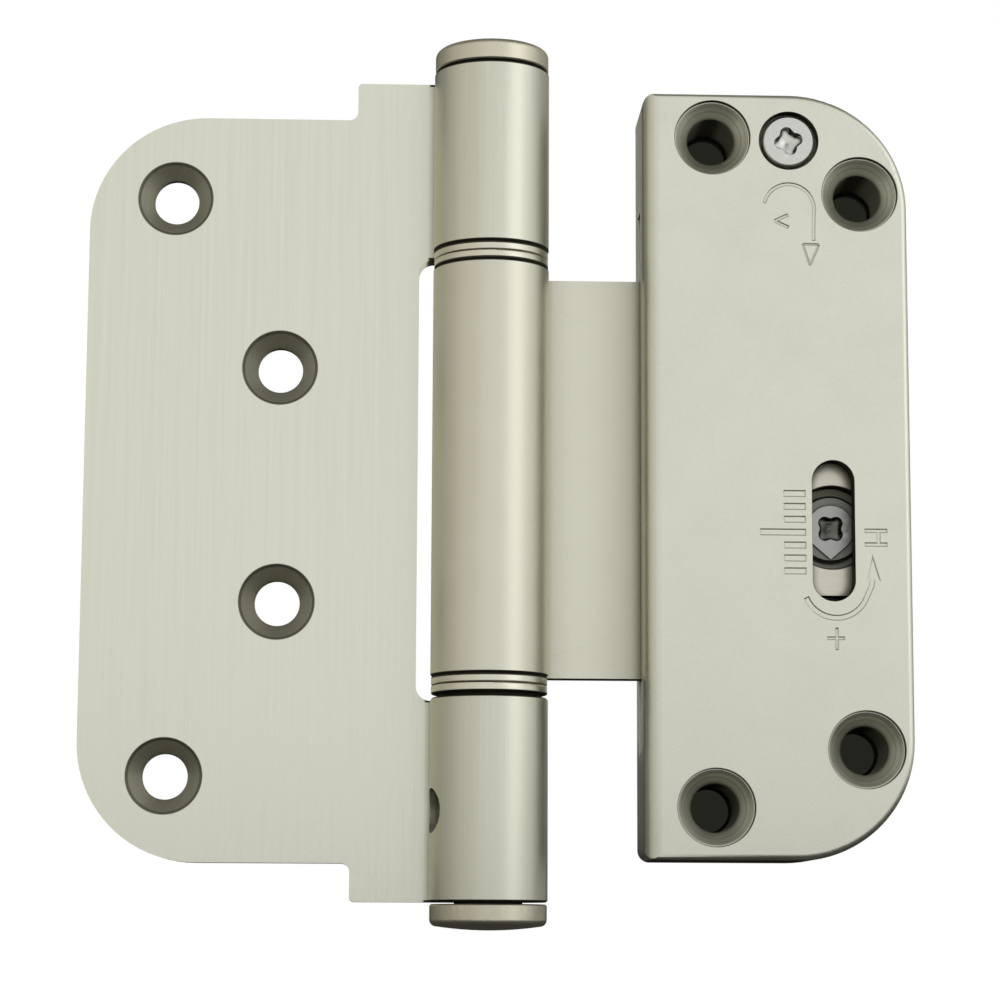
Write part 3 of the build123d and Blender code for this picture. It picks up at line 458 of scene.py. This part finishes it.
# Painted shade by depth: one tone before a level along Y and another behind it.
behind_level, given, out = effect(
    "behind_level", {"Place": "Vector", "Level": "Float", "Before": "Float", "Behind": "Float"}
)
depth = part_of(behind_level, given["Place"], "Y")
past = arithmetic(behind_level, "SUBTRACT", depth, given["Level"])
shade = factor(behind_level, past, 0.0, DEPTH_FADE * MM, given["Before"], given["Behind"])
behind_level.links.new(shade, out["Shade"])

# Painted shade on the faces that look down, standing in for the dark end of the studio.
underside, given, out = effect("underside", {"Normal": "Vector", "Darkest": "Float"})
facing = part_of(underside, given["Normal"], "Z")
shade = factor(underside, facing, FULLY_DOWN, BARELY_DOWN, given["Darkest"])
underside.links.new(shade, out["Shade"])


def hole_distance(name, centres):
    """A node group: how far a place is from the nearest of some holes that run along Y."""
    group, given, out = effect(name, {"Place": "Vector"}, ("Distance",))
    flat = stretched(group, given["Place"], (1, 0, 1))
    nearest = None
    for x, z in centres:
        away = group.nodes.new("ShaderNodeVectorMath")
        away.operation = "DISTANCE"
        middle = at(x, 0, z)
        away.inputs[1].default_value = (middle.x, 0, middle.z)
        group.links.new(flat, away.inputs[0])
        here = away.outputs["Value"]
        nearest = here if nearest is None else arithmetic(group, "MINIMUM", nearest, here)
    group.links.new(nearest, out["Distance"])
    return group


leaf_holes = hole_distance("leaf_holes", LEAF_HOLES)
casing_holes = hole_distance("casing_holes", CASE_HOLES)
cam_hole = hole_distance("cam_hole", [CAM_AXIS])
print("levels with a dark line:", len(JOINT_LINES))

# %% [markdown]
# A metal takes its shades as a list. Each helper below gives a function that adds one shade to a
# material, with the sizes and tones that this metal needs. A mask by place is used where the
# real shade has a clear edge, and the ambient occlusion where it fades.

# %% Shades that a metal can take
def in_recess(reach, darkest, closed=0.5, opened=0.92):
    values = {"Reach": reach * MM, "Darkest": darkest, "Closed": closed, "Open": opened}
    return lambda tree, where: placed(tree, recess, values)["Shade"]


# Painted shade: darker on the barrel than on the flat plate.
def beyond_barrel(near, far):
    return lambda tree, where: placed(
        tree, off_barrel, {"Place": where["Object"], "Near": near, "Far": far}
    )["Shade"]


def joint_lines(tree, where):
    return placed(tree, joint_shade, {"Place": where["Object"]})["Shade"]


def in_depth(level, before, behind):
    values = {"Level": at(0, level, 0).y, "Before": before, "Behind": behind}
    return lambda tree, where: placed(
        tree, behind_level, {"Place": where["Object"], **values}
    )["Shade"]


def facing_down(darkest):
    return lambda tree, where: placed(
        tree, underside, {"Normal": where["Normal"], "Darkest": darkest}
    )["Shade"]


def rings(holes, stops):
    """Painted shade, with lighter painted rings, by the distance from a hole's axis in millimetres.
    """
    def shade(tree, where):
        distance = placed(tree, holes, {"Place": where["Object"]})["Distance"]
        ramp = tree.nodes.new("ShaderNodeValToRGB")
        tree.links.new(arithmetic(tree, "DIVIDE", distance, RAMP_REACH * MM), ramp.inputs["Fac"])
        elements = ramp.color_ramp.elements
        while len(elements) < len(stops):
            elements.new(0.5)
        for element, (radius, tone) in zip(elements, stops):
            element.position = radius / RAMP_REACH
            element.color = (tone, tone, tone, 1.0)
        return ramp.outputs["Color"]
    return shade


def towards_casing(near, far, darkest):
    """Darker along X towards the casing's wall: a painted shadow of that wall."""
    def shade(tree, where):
        across = part_of(tree, where["Object"], "X")
        return factor(tree, across, at(near, 0, 0).x, at(far, 0, 0).x, 1.0, darkest)
    return shade


def in_slot(middle, length, width, dark):
    """Painted shade on the walls of a full-round slot that stands upright."""
    def shade(tree, where):
        centre = at(middle[0], 0, middle[1])
        across = arithmetic(tree, "SUBTRACT", part_of(tree, where["Object"], "X"), centre.x)
        along = arithmetic(tree, "SUBTRACT", part_of(tree, where["Object"], "Z"), centre.z)
        straight = (length - width) / 2 * MM
        past = arithmetic(tree, "SUBTRACT", arithmetic(tree, "ABSOLUTE", along), straight)
        past = arithmetic(tree, "MAXIMUM", past, 0.0)
        squares = [arithmetic(tree, "MULTIPLY", value, value) for value in (across, past)]
        away = arithmetic(tree, "SQRT", arithmetic(tree, "ADD", *squares))
        start, end = (width / 2 + SLOT_FADE_START) * MM, (width / 2 + SLOT_FADE_END) * MM
        return factor(tree, away, start, end, dark)
    return shade


print("shades by distance:", leaf_holes.name, casing_holes.name, cam_hole.name)

# %% [markdown]
# A metal's colour is its tint times the tone of the marks and the painted shades, and what is in
# painted shade turns warmer, a painted reflection of the warm metal round it. Its polish changes
# with the marks, and their height tips the light a little.

# %% One metal
# Colour shift of what is in painted shade: a painted warm reflection.
WARMER_IN_SHADE = (0.0, -0.05, -0.21)
DULLER_IN_SHADE = 0.4
GRAIN_HEIGHT = 0.00003


def ranged(tree, value, low, high):
    """A value of 0.3 to 0.7, as noise gives it, laid over the range from low to high."""
    return factor(tree, value, 0.3, 0.7, low, high)


# Painted shade in recesses, at four strengths, and painted shade on the faces that look down.
RECESS_SHADE = in_recess(1.5, 0.15)
SOFT_RECESS_SHADE = in_recess(1.5, 0.5)
FINE_RECESS_SHADE = in_recess(0.5, 0.15)
DEEP_RECESS_SHADE = in_recess(1.5, 0.12, 0.2, 0.72)
UNDERSIDE = facing_down(0.1)


def metal(
    name, colour, rough, effect, scale, bump=0.5, tone=0.06, spread=0.06, shades=(RECESS_SHADE,)
):
    """A bare or plated metal; scale is the number of marks in a metre along X, Y and Z."""
    material, tree = new_material(name)
    where = tree.nodes.new("ShaderNodeTexCoord").outputs
    marks = placed(tree, effect, {"Vector": stretched(tree, where["Object"], scale)})
    amount = ranged(tree, marks["Tone"], 1 - tone, 1 + tone)
    for shade in shades:
        amount = arithmetic(tree, "MULTIPLY", amount, shade(tree, where))
    shaded = arithmetic(tree, "MAXIMUM", arithmetic(tree, "SUBTRACT", 1.0, amount), 0.0)
    tint = tree.nodes.new("ShaderNodeVectorMath")
    tint.operation = "SCALE"
    tint.inputs[0].default_value = colour
    tree.links.new(amount, tint.inputs["Scale"])
    warmth = tree.nodes.new("ShaderNodeVectorMath")
    warmth.operation = "MULTIPLY_ADD"
    warmth.inputs[0].default_value = WARMER_IN_SHADE
    tree.links.new(shaded, warmth.inputs[1])
    warmth.inputs[2].default_value = (1.0, 1.0, 1.0)
    warmed = tree.nodes.new("ShaderNodeVectorMath")
    warmed.operation = "MULTIPLY"
    tree.links.new(tint.outputs[0], warmed.inputs[0])
    tree.links.new(warmth.outputs[0], warmed.inputs[1])
    relief = tree.nodes.new("ShaderNodeBump")
    relief.inputs["Strength"].default_value = bump
    relief.inputs["Distance"].default_value = GRAIN_HEIGHT
    tree.links.new(marks["Height"], relief.inputs["Height"])
    shader = tree.nodes.new("ShaderNodeBsdfPrincipled")
    shader.inputs["Metallic"].default_value = 1.0
    tree.links.new(warmed.outputs[0], shader.inputs["Base Color"])
    polish = ranged(tree, marks["Tone"], rough - spread, rough + spread)
    duller = arithmetic(tree, "MULTIPLY", shaded, DULLER_IN_SHADE)
    tree.links.new(arithmetic(tree, "ADD", polish, duller), shader.inputs["Roughness"])
    tree.links.new(relief.outputs[0], shader.inputs["Normal"])
    out = tree.nodes.new("ShaderNodeOutputMaterial")
    tree.links.new(shader.outputs[0], out.inputs["Surface"])
    return material


NICKEL = (0.64, 0.645, 0.55)
ZINC = (0.70, 0.70, 0.70)
CAST_GRAIN = (5200, 5200, 5200)
SMALL_GRAIN = (3500, 3500, 3500)
SCREW_GRAIN = (3000, 3000, 3000)
PLATED_GRAIN = (2500, 2500, 2500)
CASING_SLOT = ((45.9, -6.5), 19.0, 5.7)
# Painted shade in the countersinks and on the walls of the holes, with lighter rings for the steps'
# reflections.
leaf_sinks = rings(leaf_holes, [
    (3.0, 0.5), (3.3, 0.62), (4.7, 0.66), (4.8, 0.33), (5.1, 0.33), (5.2, 1.0),
])
case_sinks = rings(casing_holes, [
    (3.25, 0.4), (3.5, 0.85), (3.95, 0.95), (4.05, 0.65), (4.2, 0.95), (4.5, 0.95), (4.6, 0.65),
    (4.75, 0.9), (4.9, 0.6), (4.97, 1.0), (5.08, 1.0), (5.12, 0.2), (5.17, 0.2), (5.26, 1.0),
])
case_slot = in_slot(*CASING_SLOT, 0.08)
plate_holes = rings(casing_holes, [
    (2.8, 0.1), (BACK_HOLE_R + 0.08, 0.1), (BACK_HOLE_R + 0.18, 1.0),
])
cam_hole_wall = rings(cam_hole, [(5.6, 0.12), (5.7, 0.12), (5.8, 1.0)])
# The shades that each metal lists below paint shade and shadow into its colour.
finishes = {
    "brushed_nickel": metal(
        "brushed_nickel", (0.66, 0.665, 0.567), 0.34, brushing, (9000, 9000, 120), 0.5, 0.05,
        shades=(RECESS_SHADE, leaf_sinks, beyond_barrel(0.9, 1.0), joint_lines, UNDERSIDE),
    ),
    "door_nickel": metal(
        "door_nickel", (0.67, 0.665, 0.56), 0.36, blasting, CAST_GRAIN, 0.5, 0.05,
        shades=(
            # painted shadow of the barrel and the casing's wall on the door's plate
            SOFT_RECESS_SHADE, in_recess(6.0, 0.85), towards_casing(11.0, 20.5, 0.82),
            beyond_barrel(0.9, 0.98), joint_lines, UNDERSIDE,
        ),
    ),
    "casing_nickel": metal(
        "casing_nickel", NICKEL, 0.40, blasting, CAST_GRAIN, 0.5, 0.06,
        shades=(DEEP_RECESS_SHADE, case_sinks, case_slot, UNDERSIDE),
    ),
    "cap_nickel": metal("cap_nickel", (0.59, 0.57, 0.455), 0.40, blasting, CAST_GRAIN, 0.5, 0.05),
    "cross_brushed_nickel": metal(
        "cross_brushed_nickel", (0.57, 0.545, 0.46), 0.34, brushing, (90, 9000, 9000), 0.6,
        shades=(RECESS_SHADE, cam_hole_wall, UNDERSIDE),
    ),
    "turned_nickel": metal(
        "turned_nickel", (0.62, 0.61, 0.505), 0.34, brushing, (250, 250, 9000), 0.4,
        shades=(SOFT_RECESS_SHADE, joint_lines),
    ),
    "dull_nickel": metal(
        "dull_nickel", (0.35, 0.355, 0.34), 0.34, blasting, SMALL_GRAIN, 0.5, 0.08,
        # the cam's disc is painted darker behind its raised pointer: painted shade
        shades=(FINE_RECESS_SHADE, in_depth(3.2, 1.0, 0.62)),
    ),
    "screw_nickel": metal(
        "screw_nickel", (0.58, 0.58, 0.55), 0.30, blasting, SCREW_GRAIN, 0.5, 0.06,
        shades=(FINE_RECESS_SHADE,),
    ),
    # A near-black metal for the walls of the driver recesses: painted shade.
    "recess_wall_shade": metal(
        "recess_wall_shade", (0.10, 0.10, 0.09), 0.40, blasting, SCREW_GRAIN, 0.5, 0.1,
    ),
    "plate_zinc": metal(
        "plate_zinc", ZINC, 0.26, blasting, PLATED_GRAIN, 0.3, 0.05,
        # the back plate's front face, inside the casing, is painted nearly black: painted shade
        shades=(RECESS_SHADE, in_depth(11.3, 0.12, 1.0), plate_holes),
    ),
    "bright_zinc": metal("bright_zinc", ZINC, 0.24, blasting, PLATED_GRAIN, 0.3, 0.05),
    "set_screw_steel": metal(
        "set_screw_steel", (0.75, 0.74, 0.70), 0.22, blasting, PLATED_GRAIN, 0.3, 0.05,
        shades=(in_recess(0.3, 0.3),),
    ),
    "dark_spring_steel": metal(
        "dark_spring_steel", (0.12, 0.12, 0.12), 0.45, blasting, SMALL_GRAIN, 0.5, 0.15,
    ),
    "plain_brass": metal("plain_brass", (0.66, 0.50, 0.22), 0.34, brushing, (2500, 2500, 400), 0.4),
    "sintered_bronze": metal(
        "sintered_bronze", (0.42, 0.27, 0.12), 0.52, blasting, (2200, 2200, 2200), 0.8, 0.15,
    ),
    "sintered_steel": metal(
        "sintered_steel", (0.46, 0.45, 0.43), 0.48, blasting, (2400, 2400, 2400), 0.8, 0.12,
    ),
}
FINISH_OF = {
    "frame_leaf": "brushed_nickel", "door_leaf": "door_nickel",
    "top_cap": "cap_nickel", "bottom_cap": "cap_nickel",
    "upper_frame_bushing": "turned_nickel", "upper_door_bushing": "turned_nickel",
    "lower_frame_bushing": "turned_nickel", "lower_door_bushing": "turned_nickel",
    "hinge_pin": "bright_zinc", "pin_set_screw": "set_screw_steel",
    "casing": "casing_nickel", "back_plate": "plate_zinc", "back_plate_screws": "bright_zinc",
    "slide_plate": "cross_brushed_nickel", "keeper_plate": "bright_zinc",
    "carriage_rivets": "sintered_steel", "lift_nut": "plain_brass",
    "h_adjust_cam": "dull_nickel", "cam_washer": "bright_zinc", "cam_clip": "dark_spring_steel",
    "v_adjust_screw": "screw_nickel", "v_bevel_gear": "sintered_steel",
    "lead_screw": "bright_zinc", "lead_bevel_gear": "sintered_steel",
    "lead_screw_bearing": "sintered_bronze",
}
for name, node in nodes.items():
    node.data.materials.clear()
    node.data.materials.append(finishes[FINISH_OF[name]])
print("finishes:", len(finishes))

# %% [markdown]
# ## Soft edges
#
# A sharp edge never catches light, and a stamped or cast edge always does. The mesh of each
# piece listed below is welded, and a narrow bevel rounds what is sharper than a bend of about
# thirty degrees. A width of 0 leaves the edges as they are. Weld and bevel are modifiers, so
# the model's own mesh stays as it was packed.

# %% Bevels on the model's own pieces
EDGE_ANGLE = math.radians(32)
WELD = 0.002
EDGES = {
    "frame_leaf": 0.55, "door_leaf": 0.4, "casing": 0.14, "slide_plate": 0.15, "back_plate": 0.0,
    "keeper_plate": 0.1, "top_cap": 0.06, "bottom_cap": 0.06, "upper_frame_bushing": 0.05,
    "upper_door_bushing": 0.05, "lower_frame_bushing": 0.05, "lower_door_bushing": 0.05,
    "pin_set_screw": 0.08, "h_adjust_cam": 0.0, "v_adjust_screw": 0.04, "lift_nut": 0.2,
    "lead_screw_bearing": 0.15, "back_plate_screws": 0.05,
}


def soften(piece, width, steps=3):
    """Welds a piece and rounds its edges by a width in millimetres."""
    weld = piece.modifiers.new("weld", "WELD")
    weld.merge_threshold = WELD * MM
    if width == 0:
        return
    bevel = piece.modifiers.new("edges", "BEVEL")
    bevel.width = width * MM
    bevel.segments = steps
    bevel.limit_method = "ANGLE"
    bevel.angle_limit = EDGE_ANGLE
    bevel.miter_outer = "MITER_ARC"


for name, width in EDGES.items():
    soften(nodes[name], width)
print("softened pieces:", len(EDGES))

# %% [markdown]
# ## Marks on the casing
#
# The casing is die-cast with shallow marks that tell which screw does what: a V with a curved
# arrow by the vertical screw, an H with an arrow and a plus sign by the horizontal one, and a
# scale of seven lines beside the slot. The letters lie on their sides because the hinge is
# adjusted from the door's edge. They could be painted on or bumped, but real recesses catch
# shadow from every side, so a hidden block with all the strokes is subtracted from the casing.

# %% Strokes
CASING_FRONT = -1.5
MARK_DEPTH = 0.15
MARK_ABOVE = 0.4
SLOPE = 0.16
ARROW_BED = 0.7


def ribbon(points, width):
    """Outline of a stroke of even width along a line of points."""
    left, right = [], []
    last = len(points) - 1
    for i, point in enumerate(points):
        along = Vector(points[min(i + 1, last)]) - Vector(points[max(i - 1, 0)])
        along.normalize()
        side = Vector((-along.y, along.x)) * width / 2
        left.append(Vector(point) + side)
        right.append(Vector(point) - side)
    return left + right[::-1]


def arc_points(centre, radius, start, end, count=14):
    """Points on an arc, with its angles in degrees from +X towards +Z."""
    angles = [math.radians(start + (end - start) * i / count) for i in range(count + 1)]
    return [(centre[0] + radius * math.cos(a), centre[1] + radius * math.sin(a)) for a in angles]


def groove(points, width):
    """A stroke's mouth and its narrower bed, which the die leaves with sloping walls."""
    first, last = Vector(points[0]), Vector(points[-1])
    start = first + (Vector(points[1]) - first).normalized() * SLOPE
    end = last + (Vector(points[-2]) - last).normalized() * SLOPE
    return ribbon(points, width), ribbon([start, *points[1:-1], end], width - 2 * SLOPE)


def shrunk(outline, share):
    """An outline drawn in towards its middle."""
    middle = sum((Vector(point) for point in outline), Vector((0, 0))) / len(outline)
    return [middle + (Vector(point) - middle) * share for point in outline]


def cutter(name, cuts, front, depth, wall_slot=0):
    """A hidden tool whose mouths narrow to their beds; its walls can take a second material, which
    the recesses use for painted shade.
    """
    tool = bmesh.new()
    for mouth, bed in cuts:
        near = [tool.verts.new(at(x, front - MARK_ABOVE, z)) for x, z in mouth]
        level = [tool.verts.new(at(x, front, z)) for x, z in mouth]
        far = [tool.verts.new(at(x, front + depth, z)) for x, z in bed]
        tool.faces.new(near)
        tool.faces.new(far[::-1])
        for i in range(len(mouth)):
            tool.faces.new((near[i - 1], near[i], level[i], level[i - 1]))
            tool.faces.new((level[i - 1], level[i], far[i], far[i - 1])).material_index = wall_slot
    bmesh.ops.recalc_face_normals(tool, faces=tool.faces)
    mesh = bpy.data.meshes.new(name)
    tool.to_mesh(mesh)
    tool.free()
    block = bpy.data.objects.new(name, mesh)
    bpy.context.scene.collection.objects.link(block)
    block.hide_render = True
    return block


def sink(piece, block):
    """Subtracts a hidden tool from a piece."""
    cut = piece.modifiers.new(block.name, "BOOLEAN")
    cut.operation = "DIFFERENCE"
    cut.solver = "EXACT"
    cut.use_self = True
    cut.object = block


print("a stroke of two points has", len(ribbon([(0, 0), (1, 0)], 0.5)), "corners")

# %% The V, the H, the arrows, the plus sign and the scale
V_STROKE, V_ARROW_STROKE, V_HEAD_STROKE = 0.5, 0.55, 0.38
H_STROKE, H_ARROW_STROKE, PLUS_STROKE, TICK_STROKE = 0.6, 0.8, 0.5, 0.95
V_ARROW = arc_points((40.34, 37.53), 3.45, 167, -12) + [(43.67, 35.0), (43.65, 33.1)]
V_HEAD = [(42.18, 32.64), (44.37, 32.59), (43.13, 29.72)]
V_LETTER = [((38.38, 35.83), (40.25, 36.71)), ((38.38, 35.83), (40.31, 34.93))]
H_LETTER = [
    ((50.0, -6.5), (53.13, -6.5)), ((50.0, -8.35), (53.13, -8.35)), ((51.91, -6.5), (51.91, -8.35)),
]
H_ARROW = arc_points((46.14, -13.88), 4.35, 202, 335) + [(50.9, -13.9), (51.1, -12.6)]
H_HEAD = [(51.04, -9.61), (52.16, -13.33), (50.3, -13.2)]
PLUS = [((46.15, -19.53), (46.15, -22.54)), ((44.83, -20.95), (47.24, -20.95))]
TICKS, TICK_TOP, TICK_PITCH = 7, -1.56, 1.738
TICK_RIGHT, TICK_LEFT, LONG_TICK_LEFT = 42.21, 39.19, 36.01

strokes = [groove(V_ARROW, V_ARROW_STROKE), groove(H_ARROW, H_ARROW_STROKE)]
strokes += [(H_HEAD, shrunk(H_HEAD, ARROW_BED))]
strokes += [groove(line, V_STROKE) for line in V_LETTER]
strokes += [groove((V_HEAD[i - 1], V_HEAD[i]), V_HEAD_STROKE) for i in range(3)]
strokes += [groove(line, H_STROKE) for line in H_LETTER]
strokes += [groove(line, PLUS_STROKE) for line in PLUS]
for i in range(TICKS):
    level = TICK_TOP - TICK_PITCH * i
    left = LONG_TICK_LEFT if i == TICKS // 2 else TICK_LEFT
    strokes.append(groove([(left, level), (TICK_RIGHT, level)], TICK_STROKE))
sink(nodes["casing"], cutter("casing_marks", strokes, CASING_FRONT, MARK_DEPTH))
print("strokes on the casing:", len(strokes))

# %% [markdown]
# ## Driver recesses
#
# Both adjusting screws take a square driver with rounded corners that bulge outwards. The model
# has the recess as a square with four small ears; here its outline gets the full, soft form of a
# punched recess, as a circle whose radius swells four times on the way round.

# %% Full recesses in the two heads
RECESS_MEAN_R, RECESS_SWELL, RECESS_FULLNESS = 1.76, 0.26, 0.04
RECESS_DEPTH = 1.1
RECESS_DRAFT = 0.74
# piece: the recess's middle, the depth of its mouth, and its turn in degrees
HEADS = {
    "v_adjust_screw": ((40.4, 47.06), -1.3, 13.0),
    "h_adjust_cam": (CAM_AXIS, 3.05, 45.0),
}


def lobed(centre, turn, count=48):
    """A closed line round a centre that swells towards four corners."""
    points = []
    for i in range(count):
        angle = 2 * math.pi * i / count
        swing = 4 * (angle - math.radians(turn))
        reach = (
            RECESS_MEAN_R + RECESS_SWELL * math.cos(swing)
            - RECESS_FULLNESS * math.cos(2 * swing)
        )
        points.append((centre[0] + reach * math.cos(angle), centre[1] + reach * math.sin(angle)))
    return points


for name, (centre, front, turn) in HEADS.items():
    mouth = lobed(centre, turn)
    # The recess's walls take the near-black metal: painted shade.
    nodes[name].data.materials.append(finishes["recess_wall_shade"])
    cuts = [(mouth, shrunk(mouth, RECESS_DRAFT))]
    sink(nodes[name], cutter(name + "_recess", cuts, front, RECESS_DEPTH, wall_slot=1))
print("recesses:", len(HEADS))

# %% [markdown]
# What is still a hard edge after the bevels, such as the rim of a recess, must stay hard in the
# shading too. A small geometry node group marks those edges as sharp, and the last modifier
# weighs the normals by the faces' areas, which keeps the flat faces flat.

# %% Normals
HARD_ANGLE = math.radians(38)
FLAT_FACE_WEIGHT = 80
hard_edges = bpy.data.node_groups.new("hard_edges", "GeometryNodeTree")
hard_edges.interface.new_socket("Geometry", in_out="INPUT", socket_type="NodeSocketGeometry")
hard_edges.interface.new_socket("Geometry", in_out="OUTPUT", socket_type="NodeSocketGeometry")
start = hard_edges.nodes.new("NodeGroupInput")
bend = hard_edges.nodes.new("GeometryNodeInputMeshEdgeAngle")
is_hard = hard_edges.nodes.new("FunctionNodeCompare")
is_hard.data_type = "FLOAT"
is_hard.operation = "GREATER_THAN"
is_hard.inputs["B"].default_value = HARD_ANGLE
hard_edges.links.new(bend.outputs["Unsigned Angle"], is_hard.inputs["A"])
smooth_faces = hard_edges.nodes.new("GeometryNodeSetShadeSmooth")
smooth_faces.domain = "FACE"
sharp_edges = hard_edges.nodes.new("GeometryNodeSetShadeSmooth")
sharp_edges.domain = "EDGE"
sharp_edges.inputs["Shade Smooth"].default_value = False
end = hard_edges.nodes.new("NodeGroupOutput")
hard_edges.links.new(start.outputs[0], smooth_faces.inputs["Geometry"])
hard_edges.links.new(smooth_faces.outputs[0], sharp_edges.inputs["Geometry"])
hard_edges.links.new(is_hard.outputs["Result"], sharp_edges.inputs["Selection"])
hard_edges.links.new(sharp_edges.outputs[0], end.inputs[0])
for name in EDGES:
    marked = nodes[name].modifiers.new("hard_edges", "NODES")
    marked.node_group = hard_edges
    normals = nodes[name].modifiers.new("normals", "WEIGHTED_NORMAL")
    normals.keep_sharp = True
    normals.weight = FLAT_FACE_WEIGHT
dressed = nodes["casing"].evaluated_get(bpy.context.evaluated_depsgraph_get())
print("faces of the dressed casing:", len(dressed.data.polygons))
